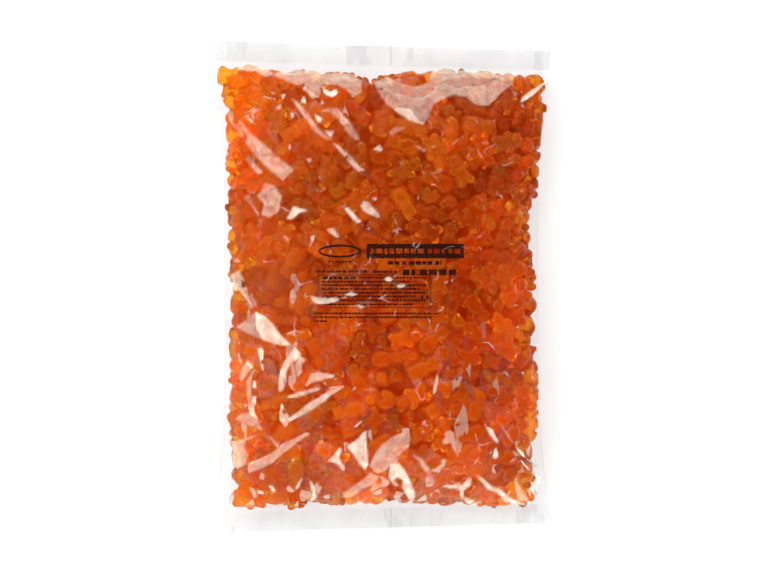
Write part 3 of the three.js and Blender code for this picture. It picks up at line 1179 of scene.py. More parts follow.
PANELS: tuple[Panel, ...] = (
    Panel(Gloss.SOFT, Facing.LOOSE, (
        (-106.5, 119.5), (-102, 121.5), (-96, 113.5), (-89, 104.5), (-80, 97), (-71, 89), (-59.5, 79.5),
        (-67, 72.5), (-78, 81), (-88, 92), (-96, 103), (-103, 111.5),
    )),
    Panel(Gloss.SOFT, Facing.LOOSE, (
        (-100, 103), (-96, 97), (-89, 87), (-82, 79.5), (-81, 78), (-84, 77), (-90, 83), (-97, 93),
    )),
    Panel(Gloss.SHEEN, Facing.LOOSE, ((-98, 126.5), (-95, 124.5), (-90, 117.5), (-92, 117.5))),
    Panel(Gloss.SHEEN, Facing.LOOSE, ((-96, 119.5), (-91, 114.5), (-86, 110.5), (-89, 114.5))),
    Panel(Gloss.HAZE, Facing.LOOSE, (
        (-100, 151), (-98, 154), (-88, 154.5), (-80, 151.5), (-74, 147), (-79, 145), (-87, 149),
    )),
    Panel(Gloss.HAZE, Facing.LOOSE, (
        (-75, 146), (-72, 148.5), (-63, 150.5), (-55, 149.5), (-47, 150.5), (-38, 147), (-28, 148),
        (-20, 147), (-14, 142), (-14, 133.5), (-19, 129.5), (-23.5, 134.5), (-30.5, 138.5), (-41.5, 138.5),
        (-42.5, 129.5), (-47.5, 128.5), (-52.5, 134.5), (-61.5, 139.5), (-69, 143.5),
    )),
    Panel(Gloss.SOFT, Facing.HEAD, (
        (-62, 128.5), (-56.5, 125.5), (-48.5, 116.5), (-41.5, 106.5), (-33.5, 99.5), (-37.5, 100),
        (-45.5, 105.5), (-51.5, 114.5),
    )),
    Panel(Gloss.SHEEN, Facing.HEAD, (
        (-33.5, 98), (-29, 96), (-18, 85.5), (-11, 79), (-6, 73), (-8, 72.5), (-18, 80), (-26.5, 90),
    )),
    Panel(Gloss.SOFT, Facing.HEAD, (
        (-41.5, 119.5), (-35.5, 122), (-29.5, 120.5), (-21.5, 111.5), (-16, 103), (-13, 96), (-18, 100),
        (-24.5, 106.5), (-29.5, 114.5), (-34.5, 118.5),
    )),
    Panel(Gloss.HAZE, Facing.LOOSE, (
        (-5, 140.5), (4, 145), (14, 139.5), (23.5, 137.5), (32.5, 140.5), (34.5, 149.5), (44, 152.5),
        (53, 149.5), (61, 151), (69, 149.5), (78, 151), (88, 147.5), (97, 149), (92, 146), (90, 139.5),
        (83, 134.5), (78, 128.5), (73, 124), (65, 124.5), (57.5, 130.5), (49.5, 131.5), (41.5, 128.5),
        (35.5, 124.5), (32.5, 116.5), (28.5, 110.5), (21.5, 111.5), (14, 116.5), (5, 123.5), (0, 129.5),
    )),
    Panel(Gloss.SOFT, Facing.HEAD, ((4, 104.5), (8, 108.5), (17, 108), (7, 103))),
    Panel(Gloss.SOFT, Facing.HEAD, (
        (20, 96.5), (25.5, 96), (29.5, 93), (33.5, 88), (29.5, 91), (24.5, 94.5),
    )),
    Panel(Gloss.FAINT, Facing.HEAD, ((32.5, 96), (36.5, 96), (42.5, 90), (38.5, 90.5))),
    Panel(Gloss.FAINT, Facing.HEAD, ((46.5, 96), (51.5, 101), (58.5, 104.5), (53.5, 100.5), (48.5, 95.5))),
    Panel(Gloss.SOFT, Facing.LOOSE, (
        (-79, 71), (-73, 69), (-68, 61.5), (-70, 51.5), (-77, 47.5), (-82, 49.5), (-80, 56.5), (-85, 61.5),
    )),
    Panel(Gloss.SOFT, Facing.LOOSE, (
        (-95, 61.5), (-90, 64), (-88, 57.5), (-83, 49), (-85, 49.5), (-90, 56.5),
    )),
    Panel(Gloss.GLINT, Facing.CORNER, (
        (-60.5, 54.5), (-49.5, 52), (-55.5, 50.5), (-60.5, 46), (-64, 47), (-61.5, 51.5),
    )),
    Panel(Gloss.SHEEN, Facing.CORNER, ((-67, 35.5), (-62.5, 32), (-63.5, 31))),
    Panel(Gloss.GLINT, Facing.CORNER, ((-47.5, 34.5), (-45.5, 35), (-46, 31), (-47.5, 31))),
    Panel(Gloss.GLINT, Facing.CORNER, (
        (-25.5, 56.5), (-20.5, 51.5), (-15, 45.5), (-10, 40.5), (-12, 40), (-19, 45.5), (-24.5, 52.5),
    )),
    Panel(Gloss.GLINT, Facing.CORNER, ((-9, 40.5), (-6, 37.5), (-3.5, 33), (-6, 34.5), (-8.5, 38.5))),
    Panel(Gloss.SHEEN, Facing.CORNER, (
        (-18, 60.5), (-9, 57.5), (-2, 49.5), (2, 44), (-4, 46.5), (-12, 51.5),
    )),
    Panel(Gloss.GLINT, Facing.CORNER, ((-8, 61), (-2, 60), (-3, 58.5))),
    Panel(Gloss.SHEEN, Facing.CORNER, (
        (-37.5, 40.5), (-32.5, 40), (-28.5, 34.5), (-25, 30), (-29.5, 32.5), (-35.5, 37.5),
    )),
    Panel(Gloss.SHEEN, Facing.LOOSE, (
        (-104.5, 8), (-98, 12), (-95, 6), (-91, -6), (-87, -15), (-90, -13), (-94, -7), (-98, -2),
        (-104.5, -3),
    )),
    Panel(Gloss.SHEEN, Facing.LOOSE, (
        (-100, -27.5), (-94, -23.5), (-90, -20.5), (-86, -17), (-79, -20.5), (-73, -26.5), (-69, -32.5),
        (-61.5, -39.5), (-69, -39.5), (-81, -36), (-91, -32.5),
    )),
    Panel(Gloss.GLINT, Facing.CORNER, (
        (-48.5, -6), (-41.5, -7.5), (-30.5, -7.5), (-27.5, -9.5), (-33.5, -11), (-42.5, -12), (-46.5, -9.5),
    )),
    Panel(Gloss.GLINT, Facing.CORNER, ((-26.5, -4.5), (-20, -4), (-15.5, -5.5), (-20.5, -6))),
    Panel(Gloss.GLINT, Facing.CORNER, ((-18, -12), (-14, -12.5), (-10, -14.5), (-14, -14.5))),
    Panel(Gloss.GLINT, Facing.CORNER, (
        (0, 6), (5, 8), (8, 4.5), (12, 2), (18, 1.5), (17, -0.5), (11, -1), (7, 2), (3, 4.5),
    )),
    Panel(Gloss.SHEEN, Facing.CORNER, (
        (-59.5, -40.5), (-54.5, -45.5), (-50.5, -51.5), (-44.5, -57.5), (-32.5, -59.5), (-31.5, -62),
        (-40.5, -63), (-47.5, -65), (-51.5, -68.5), (-48.5, -60.5), (-51.5, -53.5), (-56.5, -49.5),
        (-61.5, -51.5), (-65, -59.5), (-66, -70), (-69.5, -71), (-69, -57.5), (-65, -49.5),
    )),
    Panel(Gloss.SHEEN, Facing.CORNER, (
        (-57.5, -48.5), (-54.5, -51.5), (-53.5, -58.5), (-56.5, -60.5), (-58.5, -54.5),
    )),
    Panel(Gloss.SHEEN, Facing.LOOSE, (
        (-92, -50.5), (-88, -54.5), (-92, -59.5), (-96, -65), (-98, -62), (-96, -56.5),
    )),
    Panel(Gloss.SHEEN, Facing.LOOSE, (
        (-87, -55.5), (-89, -65), (-89, -75), (-87, -85), (-81, -98), (-83, -96), (-90, -85), (-92, -75),
        (-92, -64),
    )),
    Panel(Gloss.SHEEN, Facing.LOOSE, (
        (-101, -91), (-96, -87), (-88, -85), (-84, -92), (-81, -98), (-89, -95), (-96, -93),
    )),
    Panel(Gloss.SHEEN, Facing.LOOSE, (
        (-104.5, -106.5), (-99, -106), (-91, -103), (-83, -100.5), (-93, -105.5), (-94, -109.5),
        (-91, -115.5), (-93, -121.5), (-99, -125.5), (-104.5, -120.5),
    )),
    Panel(Gloss.SHEEN, Facing.CORNER, (
        (-20, -65.5), (-29.5, -68), (-37.5, -71), (-49.5, -79), (-57.5, -85), (-65, -91), (-61.5, -91),
        (-49.5, -85), (-39.5, -78), (-29.5, -71),
    )),
    Panel(Gloss.SHEEN, Facing.FOOT, (
        (-23.5, -70), (-33.5, -77), (-37.5, -85), (-43.5, -94), (-51.5, -99), (-59.5, -103.5),
        (-67, -106.5), (-75, -113.5), (-83, -117.5), (-90, -119.5), (-91, -126.5), (-83, -124.5),
        (-75, -120.5), (-65, -111.5), (-57.5, -105.5), (-47.5, -99), (-40.5, -87), (-32.5, -76),
    )),
    Panel(Gloss.SHEEN, Facing.LOOSE, (
        (-82, -99.5), (-76, -102), (-71, -106.5), (-69, -109.5), (-71, -109.5), (-76, -103),
    )),
    Panel(Gloss.SHEEN, Facing.CORNER, (
        (-21.5, -66), (-29.5, -67), (-44.5, -68), (-55.5, -71), (-65, -75), (-57.5, -75), (-45.5, -71),
        (-33.5, -69),
    )),
    Panel(Gloss.BRIGHT, Facing.FOOT, (
        (-10, -88), (-14, -89.5), (-19, -94), (-23, -98.5), (-20.5, -98.5), (-15, -94),
    )),
    Panel(Gloss.BRIGHT, Facing.FOOT, (
        (-10.5, -96), (-16, -103), (-23.5, -108.5), (-19, -113.5), (-15, -119.5), (-11, -124), (-9, -120.5),
        (-10, -108.5),
    )),
    Panel(Gloss.BRIGHT, Facing.FOOT, (
        (-28.5, -109), (-32.5, -114.5), (-36.5, -118), (-30.5, -119.5), (-25.5, -125), (-25, -122),
        (-29, -116.5), (-27, -110.5),
    )),
    Panel(Gloss.SHEEN, Facing.FOOT, (
        (-27.5, -142), (-21.5, -137.5), (-12, -131.5), (-8, -127.5), (-2, -129.5), (-4, -133.5),
        (-12, -136.5), (-20, -141.5),
    )),
    Panel(Gloss.SHEEN, Facing.FOOT, (
        (13, -96), (19, -93), (19.5, -99), (19, -108.5), (14, -112.5), (8, -118.5), (3, -124.5),
        (-3, -126.5), (-8, -121.5), (-5, -114.5), (0, -107.5), (8, -101), (15, -98.5),
    )),
    Panel(Gloss.BRIGHT, Facing.FOOT, (
        (6, -120.5), (11, -119.5), (16, -125.5), (20.5, -133.5), (23, -141.5), (20.5, -146.5), (17, -140.5),
        (14, -135.5), (15, -131.5), (11, -129), (8, -130.5), (12, -135), (8, -133.5), (5, -128.5),
    )),
    Panel(Gloss.SHEEN, Facing.FOOT, (
        (21.5, -114), (27.5, -116.5), (32.5, -123.5), (37.5, -135.5), (33.5, -130.5), (28.5, -123.5),
    )),
    Panel(Gloss.SHEEN, Facing.FOOT, (
        (45.5, -96), (49, -97), (50.5, -105.5), (52.5, -115.5), (49.5, -111.5), (47, -106), (41.5, -106.5),
        (42.5, -100),
    )),
    Panel(Gloss.BRIGHT, Facing.FOOT, (
        (54.5, -64), (58.5, -64), (60.5, -69), (63.5, -78), (62, -77), (57.5, -68),
    )),
    Panel(Gloss.SHEEN, Facing.FOOT, ((63, -78), (67, -84), (71, -91), (69, -90), (65, -83))),
    Panel(Gloss.BRIGHT, Facing.FOOT, (
        (70, -91), (75, -96), (78, -102), (80.5, -106.5), (77.5, -105.5), (73.5, -100),
    )),
    Panel(Gloss.SHEEN, Facing.FOOT, (
        (79, -91), (85, -98), (90, -105.5), (92, -108.5), (87, -103.5), (83, -97),
    )),
    Panel(Gloss.BRIGHT, Facing.FOOT, (
        (91, -108.5), (97, -113.5), (102, -119.5), (105.5, -124.5), (103, -123), (96, -116),
    )),
    Panel(Gloss.BRIGHT, Facing.FOOT, (
        (89, -111.5), (93, -114.5), (99, -121.5), (103.5, -127), (100, -125.5), (94, -117.5),
    )),
    Panel(Gloss.BRIGHT, Facing.FOOT, (
        (41.5, -136.5), (49.5, -136), (55.5, -136.5), (60.5, -131.5), (62, -133), (60.5, -136.5),
        (56, -139.5), (56.5, -144), (65, -146.5), (59.5, -147.5), (54.5, -143.5), (53.5, -138.5),
        (47.5, -138),
    )),
    Panel(Gloss.BRIGHT, Facing.FOOT, (
        (65, -129.5), (70, -132.5), (76, -137.5), (83, -140.5), (87, -145), (93, -149), (103.5, -152),
        (94, -151.5), (86, -148.5), (81, -142.5), (73, -139),
    )),
    Panel(Gloss.BRIGHT, Facing.FOOT, ((78, -109.5), (80, -115.5), (78, -117.5), (76, -116))),
    Panel(Gloss.SHEEN, Facing.FOOT, ((92, -132.5), (95, -137.5), (103, -148), (95, -149), (93.5, -141.5))),
    Panel(Gloss.GLINT, Facing.CORNER, ((-19, -66), (-17, -68), (-18, -71), (-20, -69))),
    Panel(Gloss.BRIGHT, Facing.FOOT, ((-59.5, -138), (-57, -137.5), (-53.5, -130.5), (-56.5, -133))),
    Panel(Gloss.BRIGHT, Facing.FOOT, (
        (-49.5, -131.5), (-45.5, -137.5), (-44.5, -143.5), (-49.5, -146), (-47.5, -140.5),
    )),
    Panel(Gloss.BRIGHT, Facing.LOOSE, ((-77.5, -136.5), (-75, -136.5), (-72.5, -141.5), (-75, -141))),
    Panel(Gloss.BRIGHT, Facing.LOOSE, ((-86, -140.5), (-82, -140.5), (-81, -143), (-85, -142.5))),
    Panel(Gloss.GLINT, Facing.HEAD, ((-68.5, 131.5), (-65.5, 132), (-67.5, 128))),
    Panel(Gloss.GLINT, Facing.HEAD, ((-72, 122.5), (-69, 124.5), (-69, 121))),
    Panel(Gloss.GLINT, Facing.HEAD, ((-62, 118.5), (-60, 118.5), (-60.5, 115))),
    Panel(Gloss.GLINT, Facing.HEAD, ((-53, 130), (-51.5, 125.5), (-55, 126))),
    Panel(Gloss.GLINT, Facing.HEAD, ((-45.5, 117.5), (-40.5, 114.5), (-41.5, 112), (-43.5, 112.5))),
    Panel(Gloss.GLINT, Facing.HEAD, ((-38.5, 106), (-32, 106), (-34.5, 101.5))),
    Panel(Gloss.GLINT, Facing.HEAD, ((-63, 98), (-61.5, 94.5), (-63, 93))),
    Panel(Gloss.GLINT, Facing.HEAD, ((-51, 87), (-47.5, 87), (-48.5, 84))),
    Panel(Gloss.GLINT, Facing.HEAD, ((-5.5, 93), (-1.5, 97), (1.5, 91.5))),
    Panel(Gloss.GLINT, Facing.HEAD, (
        (-40.5, 137), (-39, 132.5), (-33.5, 130), (-29.5, 133), (-31.5, 134.5), (-34.5, 133), (-38, 134.5),
    )),
    Panel(Gloss.GLINT, Facing.HEAD, (
        (96, 127), (103, 131), (109, 136), (114, 141), (113, 142), (105, 137), (97, 130.5),
    )),
    Panel(Gloss.FAINT, Facing.HEAD, ((64, 97), (72, 100), (80, 97), (86, 91), (78, 95), (70, 97))),
    Panel(Gloss.FAINT, Facing.HEAD, ((30, 76), (38, 80), (47, 81), (40, 77))),
)


@dataclass
class Film:
    """The film, laid over the bears and creased."""

    skin: Skin
    bears: Array
    spacing: float
    ball: float = 65.0
    clearance: float = 0.12
    stiffness: float = 8.0
    lift: float = 4.0
    press: float = 1.1
    fold_reach: float = 9.0
    tied: float = 15.0
    tie: float = 0.01
    haste: float = 1.7
    least_lean: float = 0.3
    least_cover: float = 0.3
    slack: float = 0.7
    low_edge: float = 34.0
    low_reach: float = 80.0
    low_slope: float = 0.7
    low_from: float = 20.0
    loose_least: float = 0.04
    loose_left: float = 0.05
    head_haze: float = 0.45
    to_fold: Array = field(init=False)
    height: Array = field(init=False)
    gloss: Array = field(init=False)
    loose: Array = field(init=False)

    def form(self, panels: Sequence[Panel], rounds: int) -> None:
        """Works the film's height over the skin out, and how strongly each part mirrors.

        Args:
            panels: the creased panels.
            rounds: how long the creases are left to settle.
        """
        base = softened(rolled(self.bears, self.ball, self.spacing)) - self.press
        opening = eased(self.skin.from_end, 13, 19)
        columns = np.arange(len(base))
        past = np.abs(columns - self.skin.top_columns + 1)
        self.to_fold = np.minimum(np.minimum(columns, len(base) - columns), past)[:, None] * self.spacing
        base = np.where(base < 0, base * smooth_step(self.to_fold / self.fold_reach), base)
        base = base * opening + self.clearance
        points = self.skin.lifted(base)
        top = np.arange(len(points)) < self.skin.top_columns
        slopes = self._slopes(points)
        weight = np.ones(base.shape)
        gloss = np.zeros(base.shape)
        for panel in panels:
            cover = panel.cover(points[..., 0], points[..., 1], self.spacing) * top[:, None]
            gloss = np.maximum(gloss, cover * panel.gloss.value)
            if panel.facing.value:
                weight = np.maximum(weight, 1 + self.stiffness * cover)
                wanted = np.array(panel.facing.value)
                slopes = slopes + (wanted - slopes) * (cover > self.least_cover)[..., None]
        self.height = softened(self._settled(base, points, slopes, weight, rounds))
        gap = self.height - self.bears + self.clearance
        x, y = points[..., 0], points[..., 1]
        edge = self.low_edge - self.low_slope * np.maximum(x - self.low_from, 0)
        low = smooth_step((edge - y) / self.low_reach)
        left = eased(x, -20, -80)
        bare = 1 - eased(gloss, 0, Gloss.FAINT.value)
        self.gloss = gloss * (1 + self.head_haze * eased(y, 143, 151))
        share = self.loose_least + (1 - self.loose_least) * np.maximum(low, self.loose_left * left)
        zone = share * eased(self.skin.from_end, self.tied, self.tied + 4)
        self.loose = smooth_step((gap - self.clearance) / self.slack) * zone * bare

    @staticmethod
    def _slopes(points: Array) -> Array:
        """Finds how much the surface's height changes along X and along Y.

        Args:
            points: the surface's points.

        Returns:
            The two slopes at each point.
        """
        along_columns = np.roll(points, -1, 0) - np.roll(points, 1, 0)
        normal = np.cross(along_columns, np.gradient(points, axis=1))
        upright = np.where(np.abs(normal[..., 2:]) < 1e-3, 1e-3, normal[..., 2:])
        return -normal[..., :2] / upright

    def _settled(self, base: Array, points: Array, slopes: Array, weight: Array, rounds: int) -> Array:
        """Bends the film towards the wanted slopes, but not into the bears.

        Args:
            base: the height over the skin to begin with.
            points: the film's points at that height.
            slopes: the wanted slopes along X and Y.
            weight: how much each place's slope counts.
            rounds: how many rounds of relaxation.

        Returns:
            The height over the skin.
        """
        facing = np.concatenate([-slopes, np.ones_like(slopes[..., :1])], -1)
        lean = np.maximum(np.abs((facing * self.skin.outward).sum(-1)), self.least_lean)
        steps = []
        for axis in (0, 1):
            stride = (np.roll(points, -1, axis) - points) if axis == 0 else np.diff(points, axis=1)
            rise = -(facing * np.gradient(points, axis=axis)).sum(-1) / lean
            other = np.roll(rise, -1, 0) if axis == 0 else rise[:, 1:]
            near = rise if axis == 0 else rise[:, :-1]
            heavy = np.roll(weight, -1, 0) if axis == 0 else weight[:, 1:]
            light = weight if axis == 0 else weight[:, :-1]
            share = (heavy + light) / 2 * (self.spacing / np.linalg.norm(stride, axis=-1)) ** 2
            steps.append(((near + other) / 2, share))
        (rise_x, share_x), (rise_y, share_y) = steps
        columns = np.arange(len(base))
        free = (columns > 1) & (columns < self.skin.top_columns - 2)
        free = free[:, None] & (self.skin.from_end > self.tied)[None]
        sink = np.clip(self.bears - self.press - base, -self.lift, 0)
        floor, ceiling = np.where(free, sink, 0), np.where(free, self.lift, 0)
        total = self.tie + share_x + np.roll(share_x, 1, 0)
        total[:, :-1] += share_y
        total[:, 1:] += share_y
        bend = np.roll(share_x * rise_x, 1, 0) - share_x * rise_x
        bend[:, 1:] += share_y * rise_y
        bend[:, :-1] -= share_y * rise_y
        checker = np.indices(base.shape).sum(0) % 2
        change = np.zeros(base.shape)
        for turn in range(rounds * 2):
            pull = bend + share_x * np.roll(change, -1, 0) + np.roll(share_x * change, 1, 0)
            pull[:, :-1] += share_y * change[:, 1:]
            pull[:, 1:] += share_y * change[:, :-1]
            wanted = np.clip(change + self.haste * (pull / total - change), floor, ceiling)
            change = np.where(checker == turn % 2, wanted, change)
        return base + change


# ---- meshes ---------------------------------------------------------------------------------------------


def new_piece(
    name: str, points: Array, faces: Sequence[Array], material: bpy.types.Material
) -> bpy.types.Object:
    """Makes a smooth-shaded piece that rides on the bag.

    Args:
        name: its name.
        points: its points, in millimetres.
        faces: its faces, in groups with the same number of corners.
        material: its material.

    Returns:
        The piece.
    """
    data = bpy.data.meshes.new(name)
    data.vertices.add(len(points))
    data.vertices.foreach_set("co", (points * MM).astype(np.float32).ravel())
    corners = np.concatenate([np.full(len(group), group.shape[1]) for group in faces])
    loops = np.concatenate([group.ravel() for group in faces]).astype(np.int32)
    data.loops.add(len(loops))
    data.loops.foreach_set("vertex_index", loops)
    data.polygons.add(len(corners))
    starts = np.concatenate([[0], np.cumsum(corners)[:-1]]).astype(np.int32)
    data.polygons.foreach_set("loop_start", starts)
    data.polygons.foreach_set("use_smooth", np.ones(len(corners), bool))
    data.update()
    data.validate()
    data.materials.append(material)
    piece = bpy.data.objects.new(name, data)
    bpy.context.scene.collection.objects.link(piece)
    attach(piece, BODY)
    return piece


def add_values(piece: bpy.types.Object, name: str, values: Array) -> None:
    """Gives a piece a named number at each of its points."""
    attribute = piece.data.attributes.new(name, "FLOAT", "POINT")
    attribute.data.foreach_set("value", values.astype(np.float32))


@dataclass
class Bears:
    """The pieces made of the bears: the outer ones in more detail, and the ones inside."""

    pile: BearPile
    form: BearForm = BearForm()
    upper_faces: int = 760
    lower_faces: int = 260
    upper_share: int = 250
    rim_share: int = 240
    lit_range: tuple[float, float] = (0.25, 1.15)
    lit_patch: float = 0.25
    least_lit: float = 0.15
    hue_patch: float = 0.2
    painted_yellow_light_range: tuple[float, float] = (0.3, 1.7)
    seed: int = 11

    def build(self) -> list[tuple[bpy.types.Object, Array, Array]]:
        """Returns the pieces, each with its points in millimetres and its triangles."""
        material = Gummy().build()
        upper_skin, _ = self.pile.pillow.inside(MAP_STEP)
        middles = self.pile.middles
        order = np.argsort(upper_skin.at(middles[:, 0], middles[:, 1]) - middles[:, 2])
        draw = np.random.default_rng(self.seed)
        pieces = []
        upper, rest = order[: self.upper_share], order[self.upper_share :]
        pillow = self.pile.pillow
        from_end = pillow.from_end(middles[rest, 1] / (pillow.film_length / 2))
        aside = pillow.half_width(from_end) - np.abs(middles[rest, 0])
        rest = rest[np.argsort(np.minimum(aside, from_end - pillow.seal_band))]
        groups = (
            ("gummy_bears_upper", upper, self.upper_faces),
            ("gummy_bears_rim", rest[: self.rim_share], self.upper_faces),
            ("gummy_bears_lower", rest[self.rim_share :], self.lower_faces),
        )
        for name, which, faces in groups:
            points, triangles = self.form.mesh(faces)
            placed = self.pile.placed(points, which).reshape(-1, 3)
            shift = (np.arange(len(which)) * len(points))[:, None, None]
            joined = (triangles[None] + shift).reshape(-1, 3)
            piece = new_piece(name, placed, [joined], material)
            patch = self._patch(middles[which])
            lit = draw.uniform(*self.lit_range, len(which)) + self.lit_patch * patch
            hue = draw.uniform(0, 1, len(which)) + self.hue_patch * patch
            values = {
                # the random tone, less painted shade at the right of the middle
                TONE_AND_SHADE_ATTRIBUTE: hue - self._painted_shade(middles[which]),
                # the strength of the painted glow
                LIT_ATTRIBUTE: np.maximum(lit, self.least_lit) * self._lit(middles[which]),
                # how much painted yellow light each bear gets
                PAINTED_YELLOW_LIGHT_ATTRIBUTE: draw.uniform(*self.painted_yellow_light_range, len(which)) * self._painted_yellow_light(middles[which]),
            }
            for attribute, value in values.items():
                add_values(piece, attribute, np.repeat(value, len(points)))
            pieces.append((piece, placed, joined))
        return pieces

    @staticmethod
    def press(
        piece: bpy.types.Object,
        points: Array,
        film: BVHTree,
        clearance: float = 0.1,
        blend: float = 0.45,
        reach: float = 6.0,
    ) -> None:
        """Flattens the bears of a piece where the film presses on them, and marks those places.

        Args:
            piece: the piece.
            points: its points in millimetres.
            film: the film's form.
            clearance: how far under the film the bears stay.
            blend: over what depth a bear's round form turns into its flat one.
            reach: how far from the film a point can feel it.
        """
        found = [film.find_nearest(point, reach) for point in points.tolist()]
        met = np.array([hit[0] is not None for hit in found])
        spot = np.array([hit[0] if hit[0] is not None else (0, 0, 0) for hit in found])
        outward = np.array([hit[1] if hit[0] is not None else (0, 0, 1) for hit in found])
        depth = np.where(met, ((spot - points) * outward).sum(1), reach)
        short = np.clip(clearance + blend - depth, 0, None)
        push = np.where(short < 2 * blend, short**2 / (4 * blend), short - blend)
        moved = points - outward * push[:, None]
        piece.data.vertices.foreach_set("co", (moved * MM).astype(np.float32).ravel())
        piece.data.update()
        hue = np.zeros(len(points), np.float32)
        piece.data.attributes[TONE_AND_SHADE_ATTRIBUTE].data.foreach_get("value", hue)
        strength = (0.08 + 0.5 * eased(points[:, 1], 30, -60)) * (hue * 7.3 % 1) ** 0.7
        add_values(piece, PRESSED_ATTRIBUTE, (1 - smooth_step((depth - 0.1) / 1.6)) * strength)

    @staticmethod
    def _lit(middles: Array) -> Array:
        """Finds how strong the painted glow of bears is, for light that gets through the pile: most at the
        left and at the foot.

        Args:
            middles: the bears' middles.

        Returns:
            The strength of the painted glow.
        """
        foot = eased(middles[:, 1], 20, -80)
        left = eased(middles[:, 0], -20, -110)
        head = left * eased(middles[:, 1], 60, 120)
        return np.clip(0.78 + 0.55 * foot + left * (0.4 - 0.4 * foot) + 0.9 * head, 0, None)

    @staticmethod
    def _patch(middles: Array) -> Array:
        """Tells which patches of the pile are lighter and which are deeper, in tone and in painted glow.

        Args:
            middles: the bears' middles.

        Returns:
            A value for each bear, from about -1 where it is deeper to about 1 where it is lighter.
        """
        x, y = middles[:, 0], middles[:, 1]
        waves = ((0.085, 0.031, 0.4), (-0.052, 0.094, 1.9), (0.118, -0.083, 3.1), (0.021, 0.143, 5.2))
        return sum(np.sin(across * x + along * y + start) for across, along, start in waves) / 2.2

    @staticmethod
    def _painted_yellow_light(middles: Array) -> Array:
        """Finds how much painted yellow light the bears get: most at the upper left, in the upper corners
        and along the foot.

        Args:
            middles: the bears' middles.

        Returns:
            The share of painted yellow light.
        """
        left = eased(middles[:, 0], -30, -80)
        head = left * eased(middles[:, 1], 60, 120)
        foot = eased(middles[:, 1], -40, -100)
        corner = eased(np.abs(middles[:, 0]), 80, 102) * eased(middles[:, 1], 112, 137)
        return 0.4 * (0.5 * left + 0.5 * head + foot * (0.5 + 0.15 * left) + 0.8 * corner)

    @staticmethod
    def _painted_shade(middles: Array) -> Array:
        """Finds how much painted shade darkens the bears: most at the right of the middle.

        Args:
            middles: the bears' middles.

        Returns:
            What is taken from their hue as painted shade.
        """
        right = eased(middles[:, 0], 20, 70)
        return right * (0.1 + 0.2 * eased(middles[:, 1], 50, 10) * eased(middles[:, 1], -90, -50))


@dataclass
class FilmBag:
    """The film round the bears, as one closed piece that stands for the bag's solid."""

    pillow: Pillow
    bulk: Bulk
    spacing: float = 1.02
    rounds: int = 220
    seal_blur: float = 1.5
    fold_blur: float = 2.2
    fold_density: float = 0.9

    def build(self) -> tuple[bpy.types.Object, BVHTree]:
        """Returns the piece, and its form in millimetres for other pieces to lie on."""
        skin = Skin.cut(self.pillow, self.spacing)
        film = Film(skin, self.bulk.height_over(skin), self.spacing)
        film.form(PANELS, self.rounds)
        points = skin.lifted(film.height)
        points[..., 2] = np.maximum(points[..., 2], 0.0)
        faces = self._faces(points.shape[:2], skin.top_columns)
        used = np.unique(np.concatenate([group.ravel() for group in faces]))
        renumber = np.zeros(points.shape[0] * points.shape[1], int)
        renumber[used] = np.arange(len(used))
        flat = points.reshape(-1, 3)[used]
        faces = [renumber[group] for group in faces]
        piece = new_piece("clear_film", flat, faces, ClearFilm().build())
        add_values(piece, GLOSS_ATTRIBUTE, film.gloss.ravel()[used])
        add_values(piece, LOOSE_ATTRIBUTE, film.loose.ravel()[used])
        seal = 1 - smooth_step((skin.from_end - self.pillow.seal_band) / self.seal_blur)
        fold = self.fold_density * (1 - smooth_step(film.to_fold / self.fold_blur))
        add_values(piece, SEAL_ATTRIBUTE, np.maximum(seal, fold).ravel()[used])
        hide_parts(NODE)
        tops = [group for group in faces if group.shape[1] == 4]
        return piece, BVHTree.FromPolygons(flat.tolist(), np.vstack(tops).tolist())

    @staticmethod
    def _faces(shape: tuple[int, int], top: int) -> list[Array]:
        """Joins the film's points: fine quads above, coarser ones below, and five-sided ones at the rim.

        Args:
            shape: the number of columns round the bag, and of rows.
            top: how many of the columns are above.

        Returns:
            The groups of faces.
        """
        columns, rows = shape
        numbers = np.arange(columns * rows).reshape(shape)
        below = np.arange(top - 1, columns + 1)
        mirrored = 2 * (top - 1) - below
        under = numbers[below % columns]
        for row in (0, -1):
            under[:, row] = numbers[mirrored, row]
        coarse = under[::2, ::2]
        cells = np.stack([coarse[:-1, :-1], coarse[1:, :-1], coarse[1:, 1:], coarse[:-1, 1:]], -1)
        inner = cells[1:-1, 1:-1].reshape(-1, 4)
        first = np.insert(cells[0], 4, under[0, 1::2], axis=1)
        last = np.insert(cells[-1], 2, under[-1, 1::2], axis=1)
        foot = np.insert(cells[1:-1, 0], 1, under[3:-3:2, 0], axis=1)
        head = np.insert(cells[1:-1, -1], 3, under[3:-3:2, -1], axis=1)
        above = numbers[:top]
        fine = np.stack([above[:-1, :-1], above[1:, :-1], above[1:, 1:], above[:-1, 1:]], -1)
        return [fine.reshape(-1, 4), inner, np.vstack([first, last, foot, head])]


@dataclass(frozen=True)
class Row:
    """A row of plain dashes: its start, its end, its middle line and the dashes' height and length."""

    start: float
    end: float
    middle: float
    high: float
    longest: float


